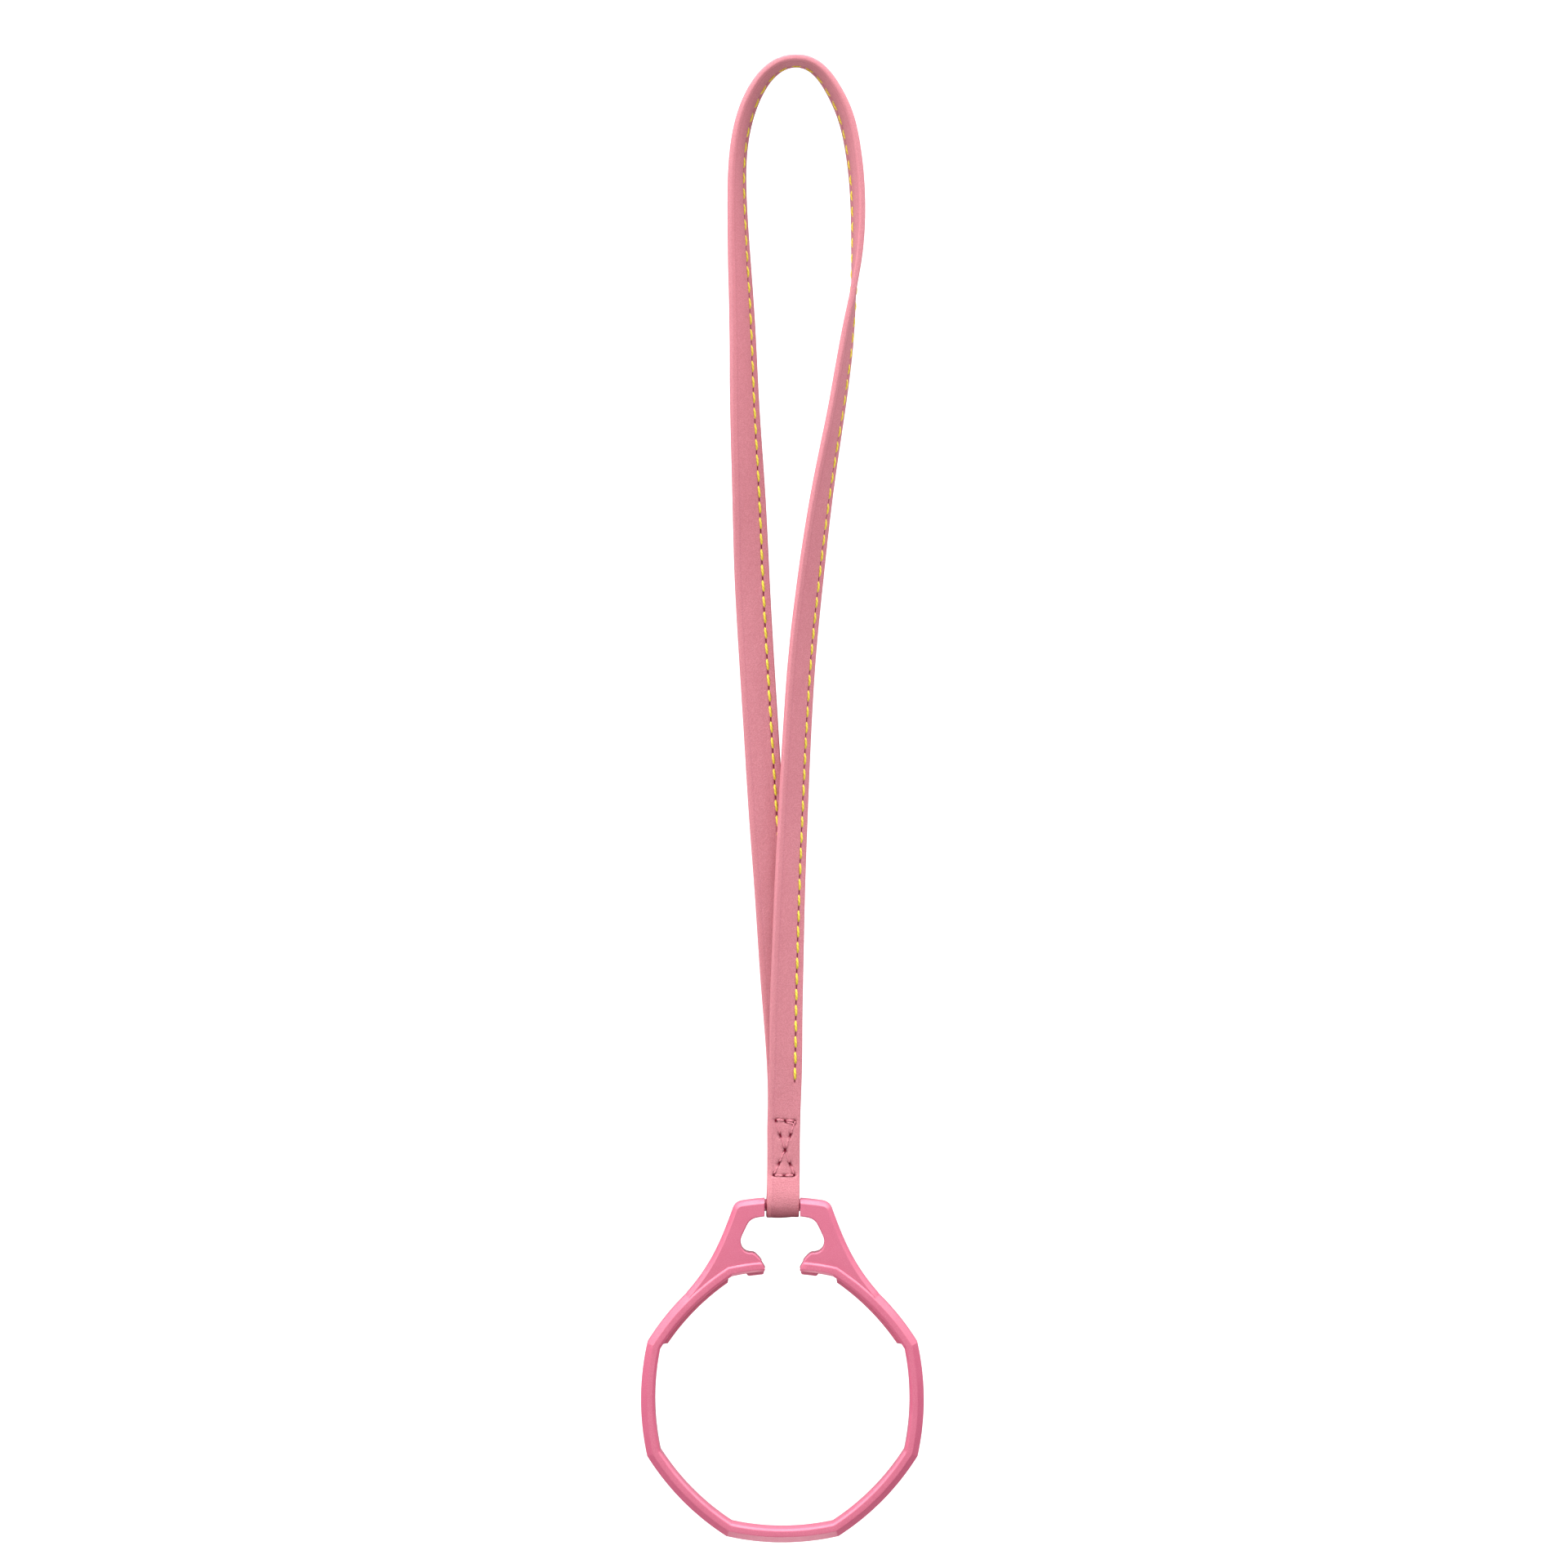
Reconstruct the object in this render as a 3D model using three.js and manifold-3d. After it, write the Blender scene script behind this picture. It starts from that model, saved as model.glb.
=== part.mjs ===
// Wrist strap with an octagonal snap-in holder, in millimetres.
//
// The holder is one moulding: an eight-sided ring with gently bulged sides, open at its top between two jaws, and a
// hanger whose top bar carries the strap. The strap is one strip of leather folded along its length over a tape,
// sewn beside its open edge, twisted a half turn into a loop and sewn to itself above the bar.
//
// The object lies on a table: X runs across it, Y along it towards the top of the loop, and Z up from the table.
// Everything is built around the centre of the ring, and the finished group is moved so that the middle of its
// footprint is at the origin.

import * as THREE from "three";
import { mergeVertices } from "three/addons/utils/BufferGeometryUtils.js";
import Module from "manifold-3d";

const wasm = await Module();
wasm.setup();

// ---- Driving dimensions ----

const RING_HALF_WIDTH = 22.1; // centre to the middle of a side
const RING_CORNER_RADIUS = 22.86; // centre to a corner
const RING_STRETCH = 1.011; // the ring is this much taller than it is wide
const RING_DEPTH = 5.0; // thickness, front to back
const RING_WALL = 2.2; // between the outside and the opening
const OUTER_BEVEL = 0.96; // 45 degree bevel round the front
const BACK_BEVEL = 0.4;
const INNER_BEVEL = 0.3;
const SIDE_STEPS = 12; // facets along one bulged side

const HANGER_DEPTH = 4.75; // its face lies a little lower than the ring's
const WINDOW_BEVEL = 0.2;
const JAW_HALF_GAP = 2.7; // the ring's opening, from the middle to each jaw
const JAW_BEVEL = 0.3;

const BAR_RADIUS = 0.95;
const BAR_Y = 30.25;
const BAR_Z = HANGER_DEPTH / 2;
const SLOT_HALF_WIDTH = 2.79; // the strap's place on the bar

const RIB_REACH = 0.6; // how far the snap ribs stand into the opening
const RIB_LOW = 1.2;
const RIB_HIGH = 2.8;

const STRAP_THICKNESS = 0.95; // at the folded edge
const SEWN_THICKNESS = 0.76; // at the open edge, where the seam pulls the plies together
const PLY = 0.34; // thickness of the leather itself
const TAPE_WIDTH = 3.6;
const TAPE_THICKNESS = 0.2;
const SEAM_INSET = 1.1; // seam to the open edge
const THREAD_RADIUS = 0.17;
const THREAD_GAP = 0.03; // between a thread and the leather it lies on
const WRAP_RADIUS = 1.52; // middle of the strap round the bar
const TACK_WIDTH = 3.1; // the crossed box of stitches
const TACK_LOW = 34.6;
const TACK_HIGH = 43.6;

// ---- Materials ----

const plastic = new THREE.MeshStandardMaterial({ color: 0xe87e9b, roughness: 0.42 });
const leather = new THREE.MeshStandardMaterial({ color: 0xe296a2, roughness: 0.62 });
const nylon = new THREE.MeshStandardMaterial({ color: 0xe9dfd6, roughness: 0.85 });
const yellowThread = new THREE.MeshStandardMaterial({ color: 0xf2dc3c, roughness: 0.55 });
const pinkThread = new THREE.MeshStandardMaterial({ color: 0xd98793, roughness: 0.6 });

// ---- Solids ----

// A closed three.js geometry as a manifold-3d solid.
function solid(geometry) {
  const bare = new THREE.BufferGeometry();
  bare.setAttribute("position", geometry.getAttribute("position"));
  if (geometry.index) bare.setIndex(geometry.index);
  const merged = mergeVertices(bare, 1e-5);
  const mesh = new wasm.Mesh({
    numProp: 3,
    vertProperties: new Float32Array(merged.attributes.position.array),
    triVerts: new Uint32Array(merged.index.array),
  });
  return new wasm.Manifold(mesh);
}

// A manifold-3d solid as a three.js geometry.
function geometryOf(manifold) {
  const mesh = manifold.getMesh();
  const geometry = new THREE.BufferGeometry();
  geometry.setAttribute("position", new THREE.BufferAttribute(mesh.vertProperties, 3));
  geometry.setIndex(new THREE.BufferAttribute(mesh.triVerts, 1));
  geometry.computeVertexNormals();
  return geometry;
}

// Moves each point of a closed outline inwards by a distance, square to the sides that meet there.
function inset(outline, distance) {
  const count = outline.length;
  return outline.map((point, i) => {
    const before = point.clone().sub(outline[(i + count - 1) % count]).normalize();
    const after = outline[(i + 1) % count].clone().sub(point).normalize();
    const inward = new THREE.Vector2(-before.y - after.y, before.x + after.x);
    return point.clone().addScaledVector(inward, distance / (1 + before.dot(after)));
  });
}

// A solid between rows of points that all have the same count, closed by the first and last row. Each row runs
// counterclockwise when it is seen from the last row.
function skin(rows, capFaces) {
  const count = rows[0].length;
  const index = [];
  for (let r = 0; r + 1 < rows.length; r++) {
    for (let i = 0; i < count; i++) {
      const a = r * count + i;
      const b = r * count + ((i + 1) % count);
      index.push(a, b, b + count, a, b + count, a + count);
    }
  }
  const last = (rows.length - 1) * count;
  for (const [a, b, c] of capFaces) index.push(a, c, b, last + a, last + b, last + c);
  const geometry = new THREE.BufferGeometry();
  geometry.setFromPoints(rows.flat());
  geometry.setIndex(index);
  return geometry;
}

// An outline raised through levels, each a height and how far the outline is drawn in there.
function raised(outline, levels) {
  const turned = THREE.ShapeUtils.isClockWise(outline) ? outline.slice().reverse() : outline;
  const rows = levels.map(([z, drawnIn]) =>
    inset(turned, drawnIn).map((p) => new THREE.Vector3(p.x, p.y, z)),
  );
  return solid(skin(rows, THREE.ShapeUtils.triangulateShape(turned, [])));
}

// ---- The holder ----

// The eight bulged sides, drawn in by a distance, as one outline.
function ringOutline(drawnIn) {
  const apothem = RING_CORNER_RADIUS * Math.cos(Math.PI / 8);
  const halfSide = RING_CORNER_RADIUS * Math.sin(Math.PI / 8);
  const bulge = RING_HALF_WIDTH - apothem;
  const sideRadius = (halfSide * halfSide + bulge * bulge) / (2 * bulge);
  const halfAngle = Math.asin(halfSide / sideRadius);
  const points = [];
  for (let side = 0; side < 8; side++) {
    const facing = (side * Math.PI) / 4;
    for (let i = 0; i < SIDE_STEPS; i++) {
      const angle = facing + halfAngle * ((2 * i) / SIDE_STEPS - 1);
      const back = RING_HALF_WIDTH - sideRadius;
      const x = back * Math.cos(facing) + sideRadius * Math.cos(angle);
      const y = back * Math.sin(facing) + sideRadius * Math.sin(angle);
      points.push(new THREE.Vector2(x, y * RING_STRETCH));
    }
  }
  return inset(points, drawnIn);
}

// Draws half an outline to the left of the middle and mirrors it to the right.
function mirrored(draw, steps) {
  const path = new THREE.Path();
  draw(path);
  const left = path.getPoints(steps).filter((p, i, all) => !i || p.distanceTo(all[i - 1]) > 1e-6);
  const right = left.map((p) => new THREE.Vector2(-p.x, p.y)).reverse();
  return [...left, ...right].filter((p, i, all) => p.distanceTo(all[(i + 1) % all.length]) > 1e-6);
}

// The hanger's outside: its flank leaves the ring's upper side and sweeps up to a rounded shoulder.
function hangerOutline() {
  return mirrored((path) => {
    path.moveTo(-11, 12);
    path.lineTo(-15.4, 15.6);
    path.lineTo(-15.0, 16.5);
    path.bezierCurveTo(-11.02, 20.99, -9.46, 25.1, -7.75, 29.8);
    path.quadraticCurveTo(-7.4, 30.7, -6.3, 30.9);
    path.quadraticCurveTo(-3.2, 31.38, 0, 31.38);
  }, 10);
}

// The window between the bar and the jaws, which runs down between the jaws into the ring.
function windowOutline() {
  return mirrored((path) => {
    path.moveTo(0, 28.7);
    path.lineTo(-2.8, 28.6);
    path.quadraticCurveTo(-3.6, 28.5, -4.1, 28.4);
    path.quadraticCurveTo(-5.1, 28.15, -5.5, 27.3);
    path.lineTo(-6.25, 25.75);
    path.bezierCurveTo(-6.95, 24.2, -6.3, 22.9, -4.9, 22.9);
    path.lineTo(-4.34, 22.8);
    path.lineTo(-3.58, 22.0);
    path.lineTo(-2.85, 21.0);
    path.lineTo(-JAW_HALF_GAP, 20.4);
    path.lineTo(-JAW_HALF_GAP, 16);
  }, 8);
}

// A rib on the inside of one side of the ring, between two places along that side, as shares of half its length.
function rib(facing, from, to) {
  const reach = RING_HALF_WIDTH - RING_WALL - RIB_REACH;
  const root = RING_HALF_WIDTH - RING_WALL + 0.4;
  const sideRadius = 38;
  const half = 7.6;
  const arcAt = (share, radius) => {
    const along = share * half;
    const sag = sideRadius - Math.sqrt(sideRadius * sideRadius - along * along);
    return new THREE.Vector2(radius - sag, along);
  };
  const taper = 0.5 / half;
  const steps = 6;
  const points = [arcAt(from, root)];
  for (let i = 0; i <= steps; i++) {
    points.push(arcAt(from + taper + ((to - from - 2 * taper) * i) / steps, reach));
  }
  points.push(arcAt(to, root));
  const turned = points.map((p) => p.rotateAround(new THREE.Vector2(), facing));
  const placed = turned.map((p) => new THREE.Vector2(p.x, p.y * RING_STRETCH));
  return raised(placed, [
    [RIB_LOW, 0.15],
    [RIB_LOW + 0.15, 0],
    [RIB_HIGH - 0.15, 0],
    [RIB_HIGH, 0.15],
  ]);
}

function holderFrame() {
  const beltHeight = RING_DEPTH - OUTER_BEVEL;
  const above = RING_DEPTH + 1;
  const outside = [
    [0, BACK_BEVEL],
    [BACK_BEVEL, 0],
    [beltHeight, 0],
  ];
  const ring = raised(ringOutline(0), [...outside, [RING_DEPTH, OUTER_BEVEL]]);
  const hanger = raised(hangerOutline(), [...outside, [HANGER_DEPTH, HANGER_DEPTH - beltHeight]]);

  // A cutter flares where it leaves the part at the back and at the front.
  const cutter = (outline, depth, backBevel, frontBevel) =>
    raised(outline, [
      [-1, -backBevel],
      [0, -backBevel],
      [backBevel, 0],
      [depth - frontBevel, 0],
      [depth, -frontBevel],
      [above, -frontBevel],
    ]);
  const opening = cutter(ringOutline(RING_WALL), RING_DEPTH, INNER_BEVEL, INNER_BEVEL);
  const window = cutter(windowOutline(), HANGER_DEPTH, WINDOW_BEVEL, WINDOW_BEVEL);
  const rectangle = (halfWidth, low, high) => [
    new THREE.Vector2(-halfWidth, low),
    new THREE.Vector2(halfWidth, low),
    new THREE.Vector2(halfWidth, high),
    new THREE.Vector2(-halfWidth, high),
  ];
  const jawGap = cutter(rectangle(JAW_HALF_GAP, 17, 22), RING_DEPTH, WINDOW_BEVEL, JAW_BEVEL);
  const slot = cutter(rectangle(SLOT_HALF_WIDTH, 27.6, 33), RING_DEPTH, 0.1, 0.1);

  const barShape = new THREE.CylinderGeometry(BAR_RADIUS, BAR_RADIUS, 2 * SLOT_HALF_WIDTH + 1, 24);
  barShape.rotateZ(Math.PI / 2);
  barShape.translate(0, BAR_Y, BAR_Z);

  let frame = ring.add(hanger).subtract(opening).subtract(window).subtract(jawGap).subtract(slot);
  frame = frame.add(solid(barShape));
  for (const [facing, from, to] of [
    [(3 * Math.PI) / 4, -0.94, 0.94],
    [Math.PI / 4, -0.94, 0.94],
    [Math.PI / 2, 0.4, 0.77],
    [Math.PI / 2, -0.77, -0.4],
  ]) {
    frame = frame.add(rib(facing, from, to));
  }
  return geometryOf(frame);
}

// ---- The strap's route ----

// Height of the strap's middle when its lower edge touches the table, for a turn of its width from lying flat.
function restingHeight(turn, width) {
  return (width / 2) * Math.abs(Math.sin(turn)) + (STRAP_THICKNESS / 2) * Math.abs(Math.cos(turn));
}

// The loop, from the end that is sewn in between the other two layers, up the back run, over the top and down the
// front run. Each stop is x, y, the turn of the strap's width in degrees, how far it is lifted off the table there,
// and its width.
const LOOP_STOPS = [
  [0.1, 33.3, 0, 1.68, 5.1],
  [0.2, 39.9, 0, 1.68, 5.15],
  [0.28, 46.9, 0, 1.55, 5.15],
  [0.13, 52.6, 0, 1.1, 5.2],
  [-0.3, 59.0, 0, 0.66, 5.25],
  [-0.77, 65.4, 0, 0.46, 5.35],
  [-1.6, 78.2, 0, 0.4, 5.4],
  [-2.5, 91.0, 0, 0.4, 5.5],
  [-3.3, 103.8, 0, 0.4, 5.5],
  [-4.1, 116.5, 3, 0.34, 5.5],
  [-4.8, 129.3, 10, 0.2, 5.5],
  [-5.3, 142.1, 25, 0, 5.45],
  [-5.88, 154.8, 38, 0, 5.4],
  [-6.26, 167.6, 47, 0, 5.3],
  [-6.77, 179.1, 56, 0, 5.3],
  [-7.06, 188.1, 63, 0, 5.3],
  [-6.77, 195.7, 67, 0, 5.3],
  [-5.62, 201.1, 69, 0, 5.3],
  [-4.1, 204.6, 72, 0, 5.3],
  [-2.11, 207.3, 76, 0, 5.3],
  [0.06, 208.8, 80, 0, 5.3],
  [2.11, 209.2, 82, 0, 5.3],
  [4.09, 208.8, 80, 0, 5.3],
  [6.2, 207.2, 76, 0, 5.3],
  [8.0, 204.6, 73, 0, 5.3],
  [9.71, 200.9, 71, 0, 5.3],
  [11.0, 195.5, 71, 0, 5.3],
  [11.69, 188.7, 72, 0, 5.3],
  [11.63, 179.1, 79, 0, 5.3],
  [10.4, 167.6, 103, 0, 5.3],
  [8.5, 154.8, 114, 0, 5.3],
  [6.3, 142.1, 124, 0, 5.3],
  [4.53, 129.3, 133, 0, 5.3],
  [3.13, 116.5, 138, 0.02, 5.3],
  [2.27, 103.8, 141, 0.1, 5.3],
  [1.63, 91.0, 145, 0.4, 5.3],
  [1.09, 78.2, 151, 1.2, 5.25],
  [0.7, 65.4, 161, 1.95, 5.2],
  [0.55, 59.0, 166, 2.25, 5.2],
  [0.5, 52.6, 172, 2.5, 5.15],
  [0.33, 46.9, 178, 2.62, 5.15],
  [0.2, 43.0, 180, 2.64, 5.15],
];

// From the front layer of the sewn stack down round the bar and up behind it, as y and z.
const LAYER_PITCH = 0.98;
const STACK_MIDDLE = 2.155;
const WRAP_STOPS = [
  [38.5, STACK_MIDDLE + LAYER_PITCH],
  [35.2, STACK_MIDDLE + LAYER_PITCH + 0.08],
  [32.6, BAR_Z + WRAP_RADIUS - 0.18],
  ...[0, 30, 60, 90, 120, 150, 180].map((degrees) => {
    const angle = (degrees * Math.PI) / 180;
    return [BAR_Y - WRAP_RADIUS * Math.sin(angle), BAR_Z + WRAP_RADIUS * Math.cos(angle)];
  }),
  [32.6, BAR_Z - WRAP_RADIUS + 0.14],
  [35.2, STACK_MIDDLE - LAYER_PITCH - 0.04],
  [38.5, STACK_MIDDLE - LAYER_PITCH],
  [42.5, STACK_MIDDLE - LAYER_PITCH],
  [45.4, STACK_MIDDLE - LAYER_PITCH],
];

const STEPS_PER_STOP = 3;
const ACROSS = new THREE.Vector3(1, 0, 0);
const UP = new THREE.Vector3(0, 0, 1);

// Stations along the strap: the middle, the unit vector across it to the open edge, the unit vector out of its outer
// face, and its width.
function strapStations() {
  const radians = THREE.MathUtils.degToRad;
  const stops = [
    ...LOOP_STOPS.map(([x, y, turn, lift, width]) => ({
      place: new THREE.Vector3(x, y, restingHeight(radians(turn), width) + lift),
      turnAndWidth: new THREE.Vector3(radians(turn), width, 0),
    })),
    ...WRAP_STOPS.map(([y, z]) => ({
      place: new THREE.Vector3(0, y, z),
      turnAndWidth: new THREE.Vector3(Math.PI, 5.1, 0),
    })),
  ];
  const route = new THREE.CatmullRomCurve3(stops.map((s) => s.place), false, "centripetal");
  const changes = new THREE.CatmullRomCurve3(stops.map((s) => s.turnAndWidth), false, "catmullrom", 0.5);
  const count = (stops.length - 1) * STEPS_PER_STOP;
  const loopShare = (LOOP_STOPS.length - 1) / (stops.length - 1);
  const stations = [];
  for (let i = 0; i <= count; i++) {
    const share = i / count;
    const along = route.getTangent(share);
    const { x: turn, y: width } = changes.getPoint(share);
    const across = ACROSS.clone();
    if (share < loopShare) {
      const right = along.clone().cross(UP).normalize();
      const down = right.clone().cross(along).negate();
      across.copy(right).multiplyScalar(Math.cos(turn)).addScaledVector(down, Math.sin(turn));
    }
    across.addScaledVector(along, -across.dot(along)).normalize();
    const outward = along.clone().cross(across);
    stations.push({ middle: route.getPoint(share), across, outward, width });
  }
  return stations;
}

// Carries a closed section along the stations. section(width) gives its points across the strap and out of it.
function carried(stations, section) {
  const rows = stations.map(({ middle, across, outward, width }) =>
    section(width).map(([a, o]) =>
      middle.clone().addScaledVector(across, a).addScaledVector(outward, o),
    ),
  );
  const flat = section(stations[0].width).map(([a, o]) => new THREE.Vector2(a, o));
  const clockwise = THREE.ShapeUtils.isClockWise(flat);
  const ordered = clockwise ? rows.map((row) => row.slice().reverse()) : rows;
  const outline = clockwise ? flat.slice().reverse() : flat;
  const faces = THREE.ShapeUtils.triangulateShape(outline, []);
  return geometryOf(solid(skin(ordered, faces)));
}

// The folded leather: two plies joined by a round fold on one side, with the tape's room between them.
function leatherSection(width) {
  const fold = -width / 2;
  const open = width / 2;
  const half = STRAP_THICKNESS / 2;
  const halfSewn = SEWN_THICKNESS / 2;
  const room = half - PLY;
  const seam = open - SEAM_INSET;
  const outer = [
    [open, halfSewn],
    [seam, halfSewn + 0.02],
    [fold + 2.4, half - 0.02],
    [fold + 0.45, half],
    [fold + 0.13, half * 0.68],
    [fold, 0],
  ];
  const inner = [
    [open, halfSewn - PLY],
    [seam, halfSewn - PLY + 0.01],
    [seam - 0.35, room],
    [fold + PLY + 0.03, room],
  ];
  const otherSide = ([a, o]) => [a, -o];
  const back = outer.slice(0, -1).map(otherSide).reverse();
  return [...outer, ...back, ...inner.map(otherSide), ...inner.slice().reverse()];
}

function tapeSection(width) {
  const low = -width / 2 + PLY + 0.08;
  const half = TAPE_THICKNESS / 2;
  return [
    [low, -half],
    [low + TAPE_WIDTH - 0.6, -half],
    [low + TAPE_WIDTH - 0.6, half],
    [low, half],
  ];
}

// A thread along the seam, on the outer face with side 1 and on the inner face with side -1.
function seamSection(side) {
  return (width) => {
    const across = width / 2 - SEAM_INSET;
    const out = side * (SEWN_THICKNESS / 2 + 0.02 + THREAD_GAP + THREAD_RADIUS);
    return [0, 1, 2, 3, 4, 5].map((i) => [
      across + THREAD_RADIUS * Math.cos((i * Math.PI) / 3),
      out + THREAD_RADIUS * Math.sin((i * Math.PI) / 3),
    ]);
  };
}

// The tack: two rows of stitches and the cross between them, as one thread that lies in a plane at a height.
function tackThread(height) {
  const side = TACK_WIDTH / 2;
  const corners = [
    [-side, TACK_HIGH],
    [side, TACK_HIGH],
    [-side, TACK_LOW],
    [side, TACK_LOW],
    [-side, TACK_HIGH],
  ];
  const shift = 0.2; // the strap's middle is this far right of the bar's
  let thread = null;
  for (let i = 0; i + 1 < corners.length; i++) {
    const from = new THREE.Vector3(corners[i][0] + shift, corners[i][1], height);
    const to = new THREE.Vector3(corners[i + 1][0] + shift, corners[i + 1][1], height);
    const length = from.distanceTo(to) + THREAD_RADIUS;
    const stitch = new THREE.CylinderGeometry(THREAD_RADIUS, THREAD_RADIUS, length, 8);
    const turn = new THREE.Quaternion().setFromUnitVectors(
      new THREE.Vector3(0, 1, 0),
      to.clone().sub(from).normalize(),
    );
    stitch.applyQuaternion(turn);
    const middle = from.clone().add(to).multiplyScalar(0.5);
    stitch.translate(middle.x, middle.y, middle.z);
    thread = thread ? thread.add(solid(stitch)) : solid(stitch);
  }
  return geometryOf(thread);
}

// ---- Assembly ----

const group = new THREE.Group();

function place(name, geometry, material) {
  const mesh = new THREE.Mesh(geometry, material);
  mesh.name = name;
  group.add(mesh);
}

const stations = strapStations();
const SEAM_END = 49.5; // the seam stops this far up both runs
const loopEnd = (LOOP_STOPS.length - 1) * STEPS_PER_STOP;
const sewn = stations.filter((s, i) => i <= loopEnd && s.middle.y > SEAM_END);
const taped = stations.slice(2, -2);
const tackLift = STRAP_THICKNESS / 2 + THREAD_GAP + THREAD_RADIUS;

place("holder_frame", holderFrame(), plastic);
place("strap_leather", carried(stations, leatherSection), leather);
place("strap_core_tape", carried(taped, tapeSection), nylon);
place("seam_needle_thread", carried(sewn, seamSection(1)), yellowThread);
place("seam_bobbin_thread", carried(sewn, seamSection(-1)), yellowThread);
place("tack_needle_thread", tackThread(STACK_MIDDLE + LAYER_PITCH + tackLift + 0.13), pinkThread);
place("tack_bobbin_thread", tackThread(STACK_MIDDLE - LAYER_PITCH - tackLift - 0.05), pinkThread);

const bounds = new THREE.Box3().setFromObject(group);
group.position.x = -(bounds.min.x + bounds.max.x) / 2;
group.position.y = -(bounds.min.y + bounds.max.y) / 2;

export default group;
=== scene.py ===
# %% [markdown]
# # A leather wrist strap with a snap-in holder
# A strip of leather is folded along its length, sewn beside its open edge, twisted half a turn into a loop and sewn
# to itself round the bar of a moulded holder. This lesson builds each of those pieces as a surface worked out with
# numpy, and gives each one a finish made of shader nodes. The first cell loads the measured model: the new pieces
# stand in for its parts, and the holder's box gives the place of every piece.

# %% Load the measured model
import math
import bmesh
import bpy
import numpy as np
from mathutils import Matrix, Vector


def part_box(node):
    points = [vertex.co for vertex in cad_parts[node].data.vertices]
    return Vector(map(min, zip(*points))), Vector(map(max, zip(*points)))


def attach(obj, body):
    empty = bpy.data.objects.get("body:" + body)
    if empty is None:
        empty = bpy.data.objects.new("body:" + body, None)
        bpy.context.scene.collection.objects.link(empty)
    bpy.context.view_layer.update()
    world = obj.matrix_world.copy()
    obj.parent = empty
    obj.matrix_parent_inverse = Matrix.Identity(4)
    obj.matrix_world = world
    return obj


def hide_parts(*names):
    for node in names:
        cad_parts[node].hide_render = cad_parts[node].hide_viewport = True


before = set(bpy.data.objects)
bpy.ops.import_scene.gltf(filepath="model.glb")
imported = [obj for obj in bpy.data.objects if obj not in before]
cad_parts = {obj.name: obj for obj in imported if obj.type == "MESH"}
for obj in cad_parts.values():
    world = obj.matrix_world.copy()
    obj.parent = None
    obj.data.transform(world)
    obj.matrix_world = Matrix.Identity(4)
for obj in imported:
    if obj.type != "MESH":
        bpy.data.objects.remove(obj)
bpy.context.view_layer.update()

MM = 0.001

# %% [markdown]
# ## The camera
# The strap lies flat on a table and is looked at from straight above. A long lens from a good distance keeps the
# ring round and the strap the same width along its whole length, which is how flat goods are usually shown. The
# camera comes first because everything after it is judged through it.

# %% Camera
CAMERA_HEIGHT = 0.9
PICTURE_WIDTH = 0.24528  # what the picture spans on the table
SENSOR_WIDTH = 36.0
STRAP_MIDDLE = 0.0025  # the height in the strap that the picture's width is meant for


def into_scene(name, data):
    """A new object with the given data, put in the scene."""
    thing = bpy.data.objects.new(name, data)
    bpy.context.scene.collection.objects.link(thing)
    return thing


camera_data = bpy.data.cameras.new("camera_above")
camera_data.sensor_width = SENSOR_WIDTH
camera_data.lens = SENSOR_WIDTH * CAMERA_HEIGHT / PICTURE_WIDTH
camera = into_scene("camera_above", camera_data)
camera.location = (0.00025, 0.0023, CAMERA_HEIGHT + STRAP_MIDDLE)
bpy.context.scene.camera = camera
print("lens", round(camera_data.lens, 1), "mm")

# %% [markdown]
# ## Where the pieces are
# The holder is drawn round the centre of its ring, which is also how a toolmaker would dimension it. The measured
# model has its origin in the middle of the footprint instead, so one offset carries every piece across. It comes
# from the holder's own box: the ring's lowest point is the holder's lowest point.

# %% The ring's centre
RING_HALF_WIDTH = 22.1
RING_CORNER_RADIUS = 22.86
RING_STRETCH = 1.011
ring_centre_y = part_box("holder_frame")[0].y / MM + RING_HALF_WIDTH * RING_STRETCH
print("ring centre at y =", round(ring_centre_y, 3), "mm")

# %% [markdown]
# ## From arrays to meshes
# Nearly every surface here is a grid: rows of points that run along a piece, each row a closed section. Blender
# takes whole arrays with foreach_set, which is much faster than adding vertices one by one. The same helper writes
# the UV map, so a pattern can follow the piece: U is the distance along it and V the distance round it.

# %% Grid helper
def grid_faces(rows, columns):
    """Quads of a grid whose rows are closed loops: (r, c), (r, c+1), (r+1, c+1), (r+1, c)."""
    r, c = np.meshgrid(np.arange(rows - 1), np.arange(columns), indexing="ij")
    right = (c + 1) % columns
    quads = np.stack([r * columns + c, r * columns + right, (r + 1) * columns + right, (r + 1) * columns + c], -1)
    return quads.reshape(-1, 4)


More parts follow.
